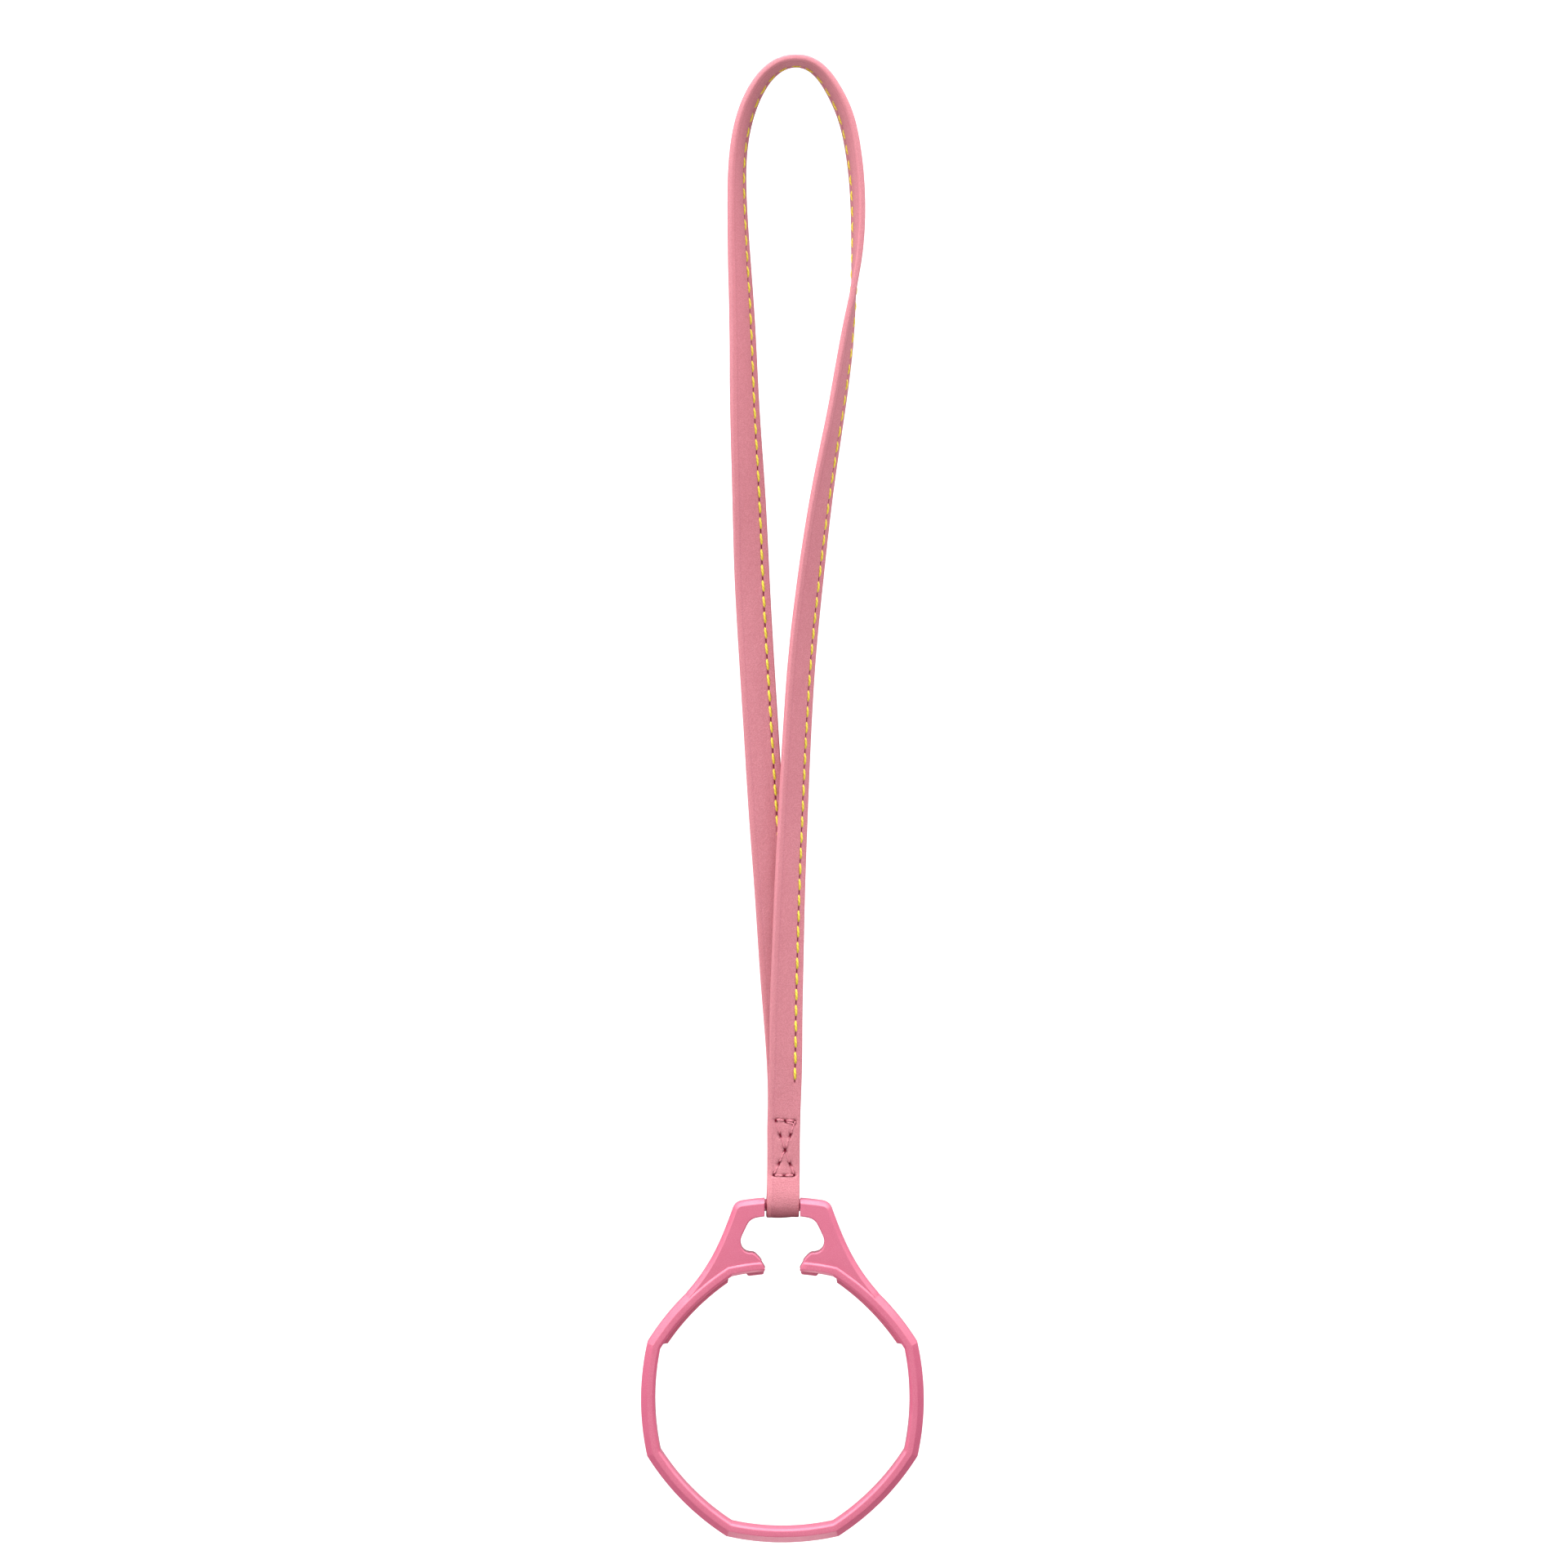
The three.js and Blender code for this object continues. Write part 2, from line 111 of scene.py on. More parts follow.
def tube_mesh(name, points, along=None, around=None, values=None):
    """A closed tube from points[row, column, xyz] in mm round the ring's centre, with a flat face on each end.
    along[row] and around[column] become the UV map in mm, and each array in values becomes a vertex attribute."""
    rows, columns = points.shape[:2]
    quads = grid_faces(rows, columns)
    side_loops = quads.size
    last_row = (rows - 1) * columns + np.arange(columns)
    loops = np.concatenate([quads.ravel(), np.arange(columns)[::-1], last_row])
    starts = np.concatenate([np.arange(len(quads)) * 4, [side_loops, side_loops + columns]])
    mesh = bpy.data.meshes.new(name)
    mesh.vertices.add(rows * columns)
    placed = points.reshape(-1, 3) + np.array([0.0, ring_centre_y, 0.0])
    mesh.vertices.foreach_set("co", (placed * MM).astype(np.float32).ravel())
    mesh.loops.add(len(loops))
    mesh.loops.foreach_set("vertex_index", loops.astype(np.int32))
    mesh.polygons.add(len(starts))
    mesh.polygons.foreach_set("loop_start", starts.astype(np.int32))
    mesh.polygons.foreach_set("use_smooth", np.ones(len(starts), bool))
    mesh.update(calc_edges=True)
    if along is not None:
        wide = np.append(around, around[-1] + (around[-1] - around[-2]))
        r, c = np.meshgrid(np.arange(rows - 1), np.arange(columns), indexing="ij")
        u = np.stack([along[r], along[r], along[r + 1], along[r + 1]], -1)
        v = np.stack([wide[c], wide[c + 1], wide[c + 1], wide[c]], -1)
        first_end = np.stack([np.full(columns, along[0]), around[::-1]], -1)
        last_end = np.stack([np.full(columns, along[-1]), around], -1)
        uv = np.concatenate([np.stack([u.ravel(), v.ravel()], -1), first_end, last_end])
        mesh.uv_layers.new(name="cloth").data.foreach_set("uv", uv.astype(np.float32).ravel())
    for key, value in (values or {}).items():
        value = np.broadcast_to(value, (rows, columns)).astype(np.float32)
        mesh.attributes.new(key, "FLOAT", "POINT").data.foreach_set("value", value.ravel())
    print(name, "-", rows, "rows of", columns, "points")
    return mesh


def add_piece(name, mesh, body, replaced=()):
    """Puts a mesh in the scene as a piece that rides on a body and stands for the named parts."""
    piece = into_scene(name, mesh)
    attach(piece, body)
    if replaced:
        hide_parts(*replaced)
    return piece


# %% [markdown]
# ## The strap's route
# Before any width or thickness, the strap is a line: from its end, which is sewn in above the bar, up the back run,
# round the top, down the front run, through the holder, round the bar and up behind. A person laying it out would
# only feel for a few places, so the route is a short list of stops with a smooth curve through them. A cubic spline
# is used because its bend changes gradually, and light on a strap shows every sudden change of bend.
#
# Each stop also says how the strap is turned about its own line, how far it is lifted off the table, and its width.

# %% Stops along the strap
LOOP_STOPS = np.array([
    # x, y, turn in degrees, lift, width
    [0.12, 33.3, 0, 1.68, 5.0],
    [0.18, 39.9, 0, 1.68, 5.1],
    [0.28, 46.9, 0, 1.55, 5.15],
    [0.13, 52.6, 0, 1.1, 5.2],
    [-0.3, 59.0, 0, 0.66, 5.25],
    [-0.77, 65.4, 0, 0.46, 5.35],
    [-1.6, 78.2, 0, 0.4, 5.4],
    [-2.5, 91.0, 0, 0.4, 5.5],
    [-3.3, 103.8, 0, 0.4, 5.5],
    [-4.1, 116.5, 3, 0.34, 5.5],
    [-4.8, 129.3, 10, 0.2, 5.5],
    [-5.3, 142.1, 25, 0, 5.45],
    [-5.88, 154.8, 38, 0, 5.4],
    [-6.26, 167.6, 47, 0, 5.3],
    [-6.77, 179.1, 56, 0, 5.3],
    [-7.06, 188.1, 63, 0, 5.3],
    [-6.77, 195.7, 67, 0, 5.3],
    [-5.62, 201.1, 69, 0, 5.3],
    [-4.1, 204.6, 72, 0, 5.3],
    [-2.11, 207.3, 76, 0, 5.3],
    [0.06, 208.78, 80, 0, 5.29],
    [2.11, 209.18, 82, 0, 5.28],
    [4.09, 208.78, 80, 0, 5.29],
    [6.2, 207.2, 76, 0, 5.3],
    [8.0, 204.6, 73, 0, 5.3],
    [9.71, 200.9, 71, 0, 5.3],
    [11.0, 195.5, 71, 0, 5.3],
    [11.69, 188.7, 72, 0, 5.3],
    [11.63, 179.1, 79, 0, 5.28],
    [10.4, 167.6, 103, 0, 5.28],
    [8.5, 154.8, 114, 0, 5.3],
    [6.3, 142.1, 124, 0, 5.3],
    [4.53, 129.3, 133, 0, 5.3],
    [3.13, 116.5, 138, 0.02, 5.3],
    [2.27, 103.8, 141, 0.1, 5.3],
    [1.63, 91.0, 145, 0.4, 5.3],
    [1.09, 78.2, 151, 1.2, 5.25],
    [0.7, 65.4, 161, 1.95, 5.2],
    [0.55, 59.0, 166, 2.25, 5.2],
    [0.5, 52.6, 172, 2.5, 5.15],
    [0.33, 46.9, 178, 2.62, 5.15],
    [0.2, 43.0, 180, 2.64, 5.15],
])
BAR_Y = 30.25
BAR_Z = 2.375
WRAP_RADIUS = 1.52  # to the middle of the strap's thickness
LAYER_PITCH = 0.98  # from the middle of one layer to the middle of the next
STACK_MIDDLE = 2.155
HALF_THICK = 0.475  # half the strap's thickness at its folded edge
HALF_SEWN = 0.38  # and at its open edge, where the seam pulls the layers together
SEAM_INSET = 1.1
WRAP_WIDTH = 5.1

turn_about_bar = np.radians(np.arange(0, 181, 30))
low_layer = STACK_MIDDLE - LAYER_PITCH
high_layer = STACK_MIDDLE + LAYER_PITCH
around_bar = np.stack([
    [0.1, 0.06, 0.03, 0, 0, 0, 0],
    BAR_Y - WRAP_RADIUS * np.sin(turn_about_bar),
    BAR_Z + WRAP_RADIUS * np.cos(turn_about_bar),
], -1)
WRAP_STOPS = np.concatenate([
    [[0.18, 38.5, high_layer], [0.17, 35.2, high_layer + 0.08], [0.14, 32.6, BAR_Z + WRAP_RADIUS - 0.18]],
    around_bar,
    [[0.1, 32.6, BAR_Z - WRAP_RADIUS + 0.14], [0.15, 35.2, low_layer - 0.04], [0.18, 38.5, low_layer]],
    [[0.22, 42.5, low_layer], [0.25, 45.4, low_layer]],
])
print(len(LOOP_STOPS), "stops in the loop,", len(WRAP_STOPS), "round the bar")


# %% Smooth curve through stops
def spline(knots, values, at):
    """Natural cubic spline: between two knots the value is a cubic, and the cubics meet with equal slope and bend.
    The bends at the knots solve one set of linear equations, and the bend is zero at both ends."""
    gap = np.diff(knots)
    count = len(knots)
    matrix = np.eye(count)
    inner = np.arange(1, count - 1)
    matrix[inner, inner - 1] = gap[:-1]
    matrix[inner, inner] = 2 * (gap[:-1] + gap[1:])
    matrix[inner, inner + 1] = gap[1:]
    rise = np.diff(values, axis=0) / gap[:, None]
    right = np.zeros_like(values)
    right[1:-1] = 6 * np.diff(rise, axis=0)
    bend = np.linalg.solve(matrix, right)
    k = np.clip(np.searchsorted(knots, at, side="right") - 1, 0, count - 2)
    h = gap[k][:, None]
    left = (at - knots[k])[:, None]
    rest = h - left
    return (
        (bend[k] * rest**3 + bend[k + 1] * left**3) / (6 * h)
        + (values[k] / h - bend[k] * h / 6) * rest
        + (values[k + 1] / h - bend[k + 1] * h / 6) * left
    )


def unit(vectors):
    """Each vector divided by its own length."""
    return vectors / np.linalg.norm(vectors, axis=-1, keepdims=True)


def distance_along(line):
    """How far along a line of points each point is: the sum of the steps up to it."""
    return np.concatenate([[0], np.cumsum(np.linalg.norm(np.diff(line, axis=0), axis=1))])


# %% [markdown]
# ## The strap's frame of directions
# At each station the strap needs three directions: along its route, across its width towards the open edge, and out
# of its outer face. Across starts level and turns by the station's angle about the route. The middle of the strap is
# raised just enough for its lower edge to touch the table: half the width times the sine of the turn, plus half the
# thickness times its cosine.

# %% Stations
turn_stops = np.radians(LOOP_STOPS[:, 2])
resting = LOOP_STOPS[:, 4] / 2 * np.abs(np.sin(turn_stops)) + HALF_THICK * np.abs(np.cos(turn_stops))
loop_places = np.stack([LOOP_STOPS[:, 0], LOOP_STOPS[:, 1], resting + LOOP_STOPS[:, 3]], -1)
places = np.concatenate([loop_places, WRAP_STOPS])
turns = np.concatenate([turn_stops, np.full(len(WRAP_STOPS), math.pi)])
widths = np.concatenate([LOOP_STOPS[:, 4], np.full(len(WRAP_STOPS), WRAP_WIDTH)])
knots = distance_along(places)
loop_end = knots[len(LOOP_STOPS) - 1]
strap_length = knots[-1]


def strap_at(s):
    """Middle, along, across, outward and width of the strap at distances s along it."""
    step = 0.01
    middle = spline(knots, places, s)
    along = unit(spline(knots, places, s + step) - spline(knots, places, s - step))
    extra = spline(knots, np.stack([turns, widths], -1), s)
    level = unit(np.cross(along, [0.0, 0.0, 1.0]) + 1e-9)
    down = -np.cross(level, along)
    across = level * np.cos(extra[:, :1]) + down * np.sin(extra[:, :1])
    across = np.where((s > loop_end)[:, None], [1.0, 0.0, 0.0], across)
    across = unit(across - along * np.sum(across * along, -1, keepdims=True))
    return middle, along, across, np.cross(along, across), extra[:, 1]


print("strap length", round(strap_length, 1), "mm")

# %% [markdown]
# ## The stitch holes
# A lockstitch is two threads that meet in the leather at every hole. The holes are the seam's real skeleton: the
# needle thread lies on the outer face between them, the bobbin thread on the inner face, and the leather is pulled
# in at each one. So the holes are placed once, and the leather and both threads all use them.

# %% Seam holes
STITCH = 2.46  # distance between holes
SEAM_END = 49.6  # the seam stops this far up both runs
probe = np.linspace(0, loop_end, 4000)
on_seam = probe[spline(knots, places, probe)[:, 1] > SEAM_END]
stitch_count = int(round((on_seam[-1] - on_seam[0]) / STITCH))
holes = np.linspace(on_seam[0], on_seam[-1], stitch_count + 1)
pitch = holes[1] - holes[0]
print(stitch_count, "stitches of", round(pitch, 3), "mm")

# %% [markdown]
# ## The crossed tack
# Where the three layers meet above the bar they are held by a tack: a row of stitches at the top, a row at the
# bottom, and two crossing lines between them, all in one thread of the leather's own colour. A machine sews it from
# hole to hole, so it is written down as the list of its holes in sewing order.

# %% Tack holes
TACK_ROUTE = np.array([
    [0.36, 43.35], [1.8, 43.0],
    [1.88, 43.5], [0.3, 43.55], [-1.2, 43.6],
    [-0.42, 41.2], [0.36, 38.95], [1.12, 36.7], [1.8, 34.95],
    [0.2, 34.85], [-1.45, 34.9],
    [-0.6, 36.85], [0.33, 38.9], [1.15, 41.25], [1.88, 43.5],
])
TACK_SHIFT = 0.1  # the strap's middle is this far right of the bar's
tack_x, tack_y = TACK_ROUTE.T
print(len(TACK_ROUTE) - 1, "tack stitches")

# %% Where the front and back layers lie
fine = np.linspace(0, strap_length, 8000)
fine_y = spline(knots, places, fine)[:, 1]
lowest = fine[np.argmin(fine_y)]
front_run = (fine > loop_end / 2) & (fine < lowest)
back_end = fine > lowest


def distance_at(run, y):
    """How far along the strap a run reaches the height y: the run's y only rises or only falls, so it is looked up."""
    order = np.argsort(fine_y[run])
    return np.interp(y, fine_y[run][order], fine[run][order])


tack_front = distance_at(front_run, tack_y)
tack_back = distance_at(back_end, tack_y)
print("tack from", round(tack_front.min(), 1), "to", round(tack_front.max(), 1), "mm along the strap")

# %% [markdown]
# ## The folded leather
# The strap's section is a skin folded over a tape: round at the fold, a flat crown, a groove where the seam pulls it
# in, and a cut edge with the two layers showing. It could be modelled as a box with bevels, but every stitch also
# pulls the leather down round its hole, so the section is written as a thickness that depends on two numbers: the
# distance from the cut edge, and the distance along the strap to the nearest hole.

# %% Section columns
NOSE = 0.5  # how far the round of the fold reaches
NOSE_ANGLES = np.radians([89.9, 72, 54, 36, 14])
CUT_CORNER = 0.12  # how far the softened corner of the cut edge reaches
CORNER_DROP = 0.07  # and how far it falls
MIDDLE_COLUMNS = 15
SEAM_COLUMNS = np.array([1.62, 1.44, 1.3, 1.19, 1.1, 1.01, 0.9, 0.76, 0.58, 0.34, 0.12, 0.0])


def surface_half(from_cut_edge):
    """Half thickness of the leather at a distance from its cut edge, without the pull of the seam."""
    return HALF_SEWN + (HALF_THICK - HALF_SEWN) * np.clip((from_cut_edge - SEAM_INSET) / 1.6, 0, 1) ** 0.7


def section_columns(width):
    """Across and half thickness for one face, from the cut edge to the fold, for each station's width.
    The nose is a quarter of a squared-off ellipse: NOSE times (1 - root of the cosine) across, and the half
    thickness times the root of the sine."""
    rows = len(width)
    edge = np.broadcast_to(SEAM_COLUMNS[::-1], (rows, len(SEAM_COLUMNS)))
    share = np.linspace(0, 1, MIDDLE_COLUMNS + 2)[1:-1]
    middle = SEAM_COLUMNS[0] + (width[:, None] - NOSE - SEAM_COLUMNS[0]) * share
    nose = width[:, None] - NOSE * (1 - np.sqrt(np.cos(NOSE_ANGLES)))
    from_edge = np.concatenate([edge, middle, nose], -1)
    end = np.ones_like(from_edge)
    end[:, -len(NOSE_ANGLES) :] = np.sqrt(np.sin(NOSE_ANGLES))
    corner = np.clip(from_edge / CUT_CORNER, 0, 1)
    return from_edge, surface_half(from_edge) * end - CORNER_DROP * (1 - corner) ** 2


def near_hole(s, points):
    """Distance along the strap from each station to the nearest of the given holes."""
    k = np.clip(np.searchsorted(points, s), 1, len(points) - 1)
    return np.minimum(np.abs(s - points[k - 1]), np.abs(s - points[k]))


def bell(x, reach, power=2.0):
    """1 in the middle, falling to nothing a little past its reach: e to the minus (|x| over reach) to the power."""
    return np.exp(-(np.abs(x / reach) ** power))


# %% Stations for the leather
FROM_HOLE = np.array([0, 0.16, 0.4, 0.85, 1.61, 2.06, 2.3])  # close together near a hole
TACK_STEP, PLAIN_STEP = 0.15, 0.4
CLOSEST = 0.12  # plain stations keep this far from the tack's
sewn = (holes[:-1, None] + FROM_HOLE / STITCH * pitch).ravel()
tack_zone = np.concatenate([np.arange(a.min() - 0.5, a.max() + 0.5, TACK_STEP) for a in (tack_front, tack_back)])
plain = np.arange(0.0, strap_length, PLAIN_STEP)
clear = (np.abs(plain[:, None] - tack_zone[None, :]).min(1) > CLOSEST) & ((plain < holes[0]) | (plain > holes[-1]))
leather_s = np.sort(np.concatenate([sewn, [holes[-1]], tack_zone, plain[clear], [strap_length]]))
leather_s = leather_s[np.concatenate([[True], np.diff(leather_s) > 0.02])]
print(len(leather_s), "stations")

# %% Relief of the skin
SLIT_REACH = 0.4  # how far a hole's slit runs along the seam
GROOVE_DEPTH, GROOVE_REACH = 0.045, 0.3
PIT_DEPTH, PIT_REACH = 0.12, 0.1  # the groove is deeper and narrower at each hole
PUFF, PUFF_AT_HOLE, PUFF_PLACE, PUFF_REACH = 0.025, 0.035, 0.3, 0.16  # the leather swells beside the groove
CUSHION = 0.03  # the crown between the seam and the fold
PRESS_DEPTH, PRESS_PLACE, PRESS_REACH = 0.035, 0.82, 0.13  # a line pressed in beside the fold
RIPPLE = 0.02
middle, _, across, outward, width = strap_at(leather_s)
width = width[:, None]
from_edge, half = section_columns(width[:, 0])
on_the_seam = ((leather_s >= holes[0] - 0.3) & (leather_s <= holes[-1] + 0.3))[:, None]
to_seam = from_edge - SEAM_INSET
slit = bell(near_hole(leather_s, holes)[:, None], SLIT_REACH, 4)
pulled = GROOVE_DEPTH * bell(to_seam, GROOVE_REACH) + PIT_DEPTH * slit * bell(to_seam, PIT_REACH)
puffed = (PUFF + PUFF_AT_HOLE * slit) * bell(np.abs(to_seam) - PUFF_PLACE, PUFF_REACH)
cushion = CUSHION * np.sin(np.pi * np.clip((from_edge - 1.4) / (width - 2.2), 0, 1))
pressed = PRESS_DEPTH * bell(width - from_edge - PRESS_PLACE, PRESS_REACH)
ripple = RIPPLE * np.sin(leather_s / 1.9 + 2.0 * np.sin(leather_s / 7.3))[:, None] * np.sin(from_edge * 1.3)
plain_skin = half + on_the_seam * (puffed - pulled) + cushion - pressed
print("deepest pull", round(float(pulled.max()), 3), "mm")


# %% Slots at the tack's holes
SLOT_LENGTH, SLOT_REACH, SLOT_DEPTH = 0.3, 0.24, 0.2
PULL_REACH, PULL_DEPTH = 0.5, 0.05


def tack_dents(s, a, tack_s):
    """Slots at the tack's holes. From each hole a slot runs a little way along each stitch that leaves it. A point's
    depth falls with its distance from the nearest slot, which is the distance to a short line."""
    hole = np.stack([tack_s, tack_x - TACK_SHIFT], -1)
    start = np.concatenate([hole[:-1], hole[1:]])
    step = np.concatenate([hole[1:] - hole[:-1], hole[:-1] - hole[1:]])
    step = unit(step) * SLOT_LENGTH
    point = np.stack([np.broadcast_to(s[:, None], a.shape), a], -1)
    near = (s > tack_s.min() - 3) & (s < tack_s.max() + 3)
    away = point[near][:, :, None] - start
    share = np.clip(np.sum(away * step, -1) / np.sum(step * step, -1), 0, 1)
    squared = np.sum((away - share[..., None] * step) ** 2, -1).min(-1)
    slot, pull = np.zeros(a.shape), np.zeros(a.shape)
    slot[near] = bell(squared, SLOT_REACH**2, 1.5)
    pull[near] = bell(squared, PULL_REACH**2, 1)
    return slot, pull


a_face = width / 2 - from_edge
front_slot, front_pull = tack_dents(leather_s, a_face, tack_front)
back_slot, back_pull = tack_dents(leather_s, a_face, tack_back)
tack_slot = front_slot + back_slot
print("points in slots:", int((tack_slot > 0.5).sum()))

# %% Leather surface
# The section runs over the outer face, round the fold, back under the inner face and into the cut between the plies.
outer_half = plain_skin + ripple - SLOT_DEPTH * tack_slot - PULL_DEPTH * (front_pull + back_pull)
inner_half = plain_skin - ripple
PLY = 0.34  # thickness of one layer
CAVITY_EDGE = np.array([0.0, 0.9, 1.5])
CAVITY_HALF = np.array([0.05, 0.05, 0.13, 0.13])
fold_across = -width / 2
cavity_across = np.concatenate([width / 2 - CAVITY_EDGE, fold_across + PLY + 0.03], -1)
cavity_out = np.broadcast_to(CAVITY_HALF, cavity_across.shape)
a_all = np.concatenate([a_face, fold_across, a_face[:, ::-1], cavity_across, cavity_across[:, ::-1]], -1)
o_all = np.concatenate(
    [outer_half, np.zeros_like(fold_across), -inner_half[:, ::-1], -cavity_out, cavity_out[:, ::-1]], -1
)
points = middle[:, None] + across[:, None] * a_all[..., None] + outward[:, None] * o_all[..., None]
face_count = from_edge.shape[1]
inside = np.arange(a_all.shape[1]) > 2 * face_count
dent = np.zeros_like(a_all)
dent[:, :face_count] = tack_slot
leather_marks = {
    "from_cut_edge": width / 2 - a_all,
    "from_fold": width / 2 + a_all,
    "sewn": on_the_seam & ~inside,
    "dent": dent,
    "inside": inside,
    # On the turn round the bar, wrap paints shade into the colour and deepens the grain's relief.
    "wrap": bell(leather_s - lowest, 4.0, 4)[:, None],
    # Painted shade from just before the lowest point of the turn round the bar to the strap's hidden end.
    "under_bar_shade": np.clip(1 - (lowest - leather_s - 0.5) / 2.0, 0, 1)[:, None],
}
leather_mesh = tube_mesh("strap_leather_skin", points, leather_s - holes[0], distance_along(points[0]), leather_marks)
leather = add_piece("leather_strap", leather_mesh, "strap", ["strap_leather"])
print("leather faces:", len(leather_mesh.polygons))

# %% [markdown]
# ## Sewing thread
# Thread is a thin round tube. Between two holes it lies on the leather, and at each hole it dives in, so its height
# over the leather is one arch per stitch. In a lockstitch each stitch also lies slightly aslant. Both faces of the
# strap have a thread, and both are the same function with the side turned round. A tube of eight sides with a
# dozen stations for each stitch is enough, because there are hundreds of stitches; the twist of the thread's plies
# is left to its material.

# %% Thread tube
STITCH_STEPS = np.array([0, 0.05, 0.1, 0.16, 0.24, 0.36, 0.5, 0.64, 0.76, 0.84, 0.9, 0.95])
THREAD_SIDES = 8
SEAM_YARN, TACK_YARN = (0.2, 0.15), (0.14, 0.1)  # half width and half height
SEAM_ARCH, TACK_ARCH = (0.1, 0.5), (0.0, 0.13, 3.0)  # height, depth and, where it is not the usual one, the power
SEAM_SINK = 0.03  # how deep the groove lets the seam's thread lie
SLANT = 0.2  # from one end of a stitch to the other


def thread_points(path, sideways, up, wide, high):
    """A tube round a path: at each point an ellipse, wide times the cosine sideways and high times the sine up."""
    angle = np.arange(THREAD_SIDES) * 2 * np.pi / THREAD_SIDES
    level = (wide[:, None] * np.cos(angle))[..., None]
    rise = (high[:, None] * np.sin(angle))[..., None]
    return path[:, None] + sideways[:, None] * level + up[:, None] * rise


def arch(t, height, depth, power=2.7):
    """Height over the leather along one stitch, from 0 to 1: it climbs out of a hole, runs over and dives again."""
    return -depth + (height + depth) * (1 - np.abs(2 * t - 1) ** power)


def sunk(t):
    """How far down its hole the thread is, which sets the shade painted on it there: the sixth power of |2t - 1|."""
    return np.abs(2 * t - 1)[:, None] ** 6


def seam_thread(side):
    """One thread of the seam: side 1 is the outer face and side -1 the inner one."""
    t = np.tile(STITCH_STEPS, stitch_count)
    s = (holes[:-1, None] + STITCH_STEPS * pitch).ravel()
    t, s = np.append(t, 1.0), np.append(s, holes[-1])
    centre, _, beside, out, wide = strap_at(s)
    slant = SLANT * (t - 0.5) * side
    lift = side * (surface_half(SEAM_INSET) - SEAM_SINK + arch(t, *SEAM_ARCH))
    path = centre + beside * (wide / 2 - SEAM_INSET + slant)[:, None] + out * lift[:, None]
    # The tube's up and sideways directions are taken so that its faces point outwards on either side.
    taper = 1 - 0.4 * np.abs(2 * t - 1) ** 3
    tube = thread_points(path, beside * side, out * side, SEAM_YARN[0] * taper, SEAM_YARN[1] * taper)
    return tube, s, sunk(t)


def add_yarn(name, thread, run, depth, facet, material_slot):
    """Adds a thread as the piece that stands for the part of that name. Facet is the width of one of its sides."""
    mesh = tube_mesh(name + "_yarn", thread, run, np.arange(THREAD_SIDES) * facet, {"sunk": depth})
    return add_piece("yarn_" + name, mesh, "strap", [name])


seam_yarns = [
    add_yarn(name, *seam_thread(side), 0.155, "seam_thread")
    for name, side in (("seam_needle_thread", 1), ("seam_bobbin_thread", -1))
]

# %% Tack thread
def tack_thread(tack_s):
    """The tack's thread on one layer: an arch between each hole and the next, laid on the leather's outer face."""
    t = np.tile(STITCH_STEPS, len(tack_x) - 1)
    k = np.repeat(np.arange(len(tack_x) - 1), len(STITCH_STEPS))
    s = tack_s[k] * (1 - t) + tack_s[k + 1] * t
    x = tack_x[k] * (1 - t) + tack_x[k + 1] * t
    centre, _, beside, out, wide = strap_at(s)
    lift = surface_half(wide / 2 - x) + arch(t, *TACK_ARCH)
    path = centre + beside * (x - TACK_SHIFT)[:, None] + out * lift[:, None]
    heading = unit(np.gradient(path, axis=0) + 1e-9)
    sideways = unit(np.cross(out, heading))
    up = np.cross(heading, sideways)
    taper = 1 - 0.15 * np.abs(2 * t - 1) ** 3
    tube = thread_points(path, -sideways, up, TACK_YARN[0] * taper, TACK_YARN[1] * taper)
    return tube, distance_along(path), sunk(t) ** 0.6


tack_yarns = [
    add_yarn(name, *tack_thread(tack_s), 0.13, "tack_thread")
    for name, tack_s in (("tack_needle_thread", tack_front), ("tack_bobbin_thread", tack_back))
]

# %% [markdown]
# ## The holder's ring
# The ring is moulded plastic: eight gently bulged sides that meet in mitred corners. A circle with flats would miss
# the mitres, and a modelled box frame would miss the bulge. So a point of the ring is a formula of three numbers:
# which side, how far along it, and how far in from the outside. Each side is an arc, and a line further in is a
# smaller arc about the same centre that ends on the mitre line.

# %% Ring formula
EIGHTH = math.pi / 8
apothem = RING_CORNER_RADIUS * math.cos(EIGHTH)
half_side = RING_CORNER_RADIUS * math.sin(EIGHTH)
bulge = RING_HALF_WIDTH - apothem
side_radius = (half_side**2 + bulge**2) / (2 * bulge)
arc_centre = RING_HALF_WIDTH - side_radius


def ring_angle(inset):
    """Half the angle of a side's arc, where an arc that lies inset further in meets the mitre line."""
    r = side_radius - inset
    reach = arc_centre * math.cos(EIGHTH) + np.sqrt(r**2 - (arc_centre * math.sin(EIGHTH)) ** 2)
    return np.arctan2(reach * math.sin(EIGHTH), reach * math.cos(EIGHTH) - arc_centre)


def ring_point(facing, share, inset):
    """x and y at a share from -1 to 1 along the side that faces that way, inset from the outside."""
    angle = share * ring_angle(inset)
    r = side_radius - inset
    out = arc_centre + r * np.cos(angle)
    beside = r * np.sin(angle)
    x = out * np.cos(facing) - beside * np.sin(facing)
    y = out * np.sin(facing) + beside * np.cos(facing)
    return x, y * RING_STRETCH


print("each side bulges", round(bulge, 2), "mm")

# %% [markdown]
# ## Soft edges
# A moulding has no knife edges: each is rounded a little, and that thin round is what catches the light. A Bevel
# modifier could add it, but the section is already a list of corners, so the corners are rounded there. Each one
# becomes a short curve from a point before it to a point after it, pulled towards the corner.

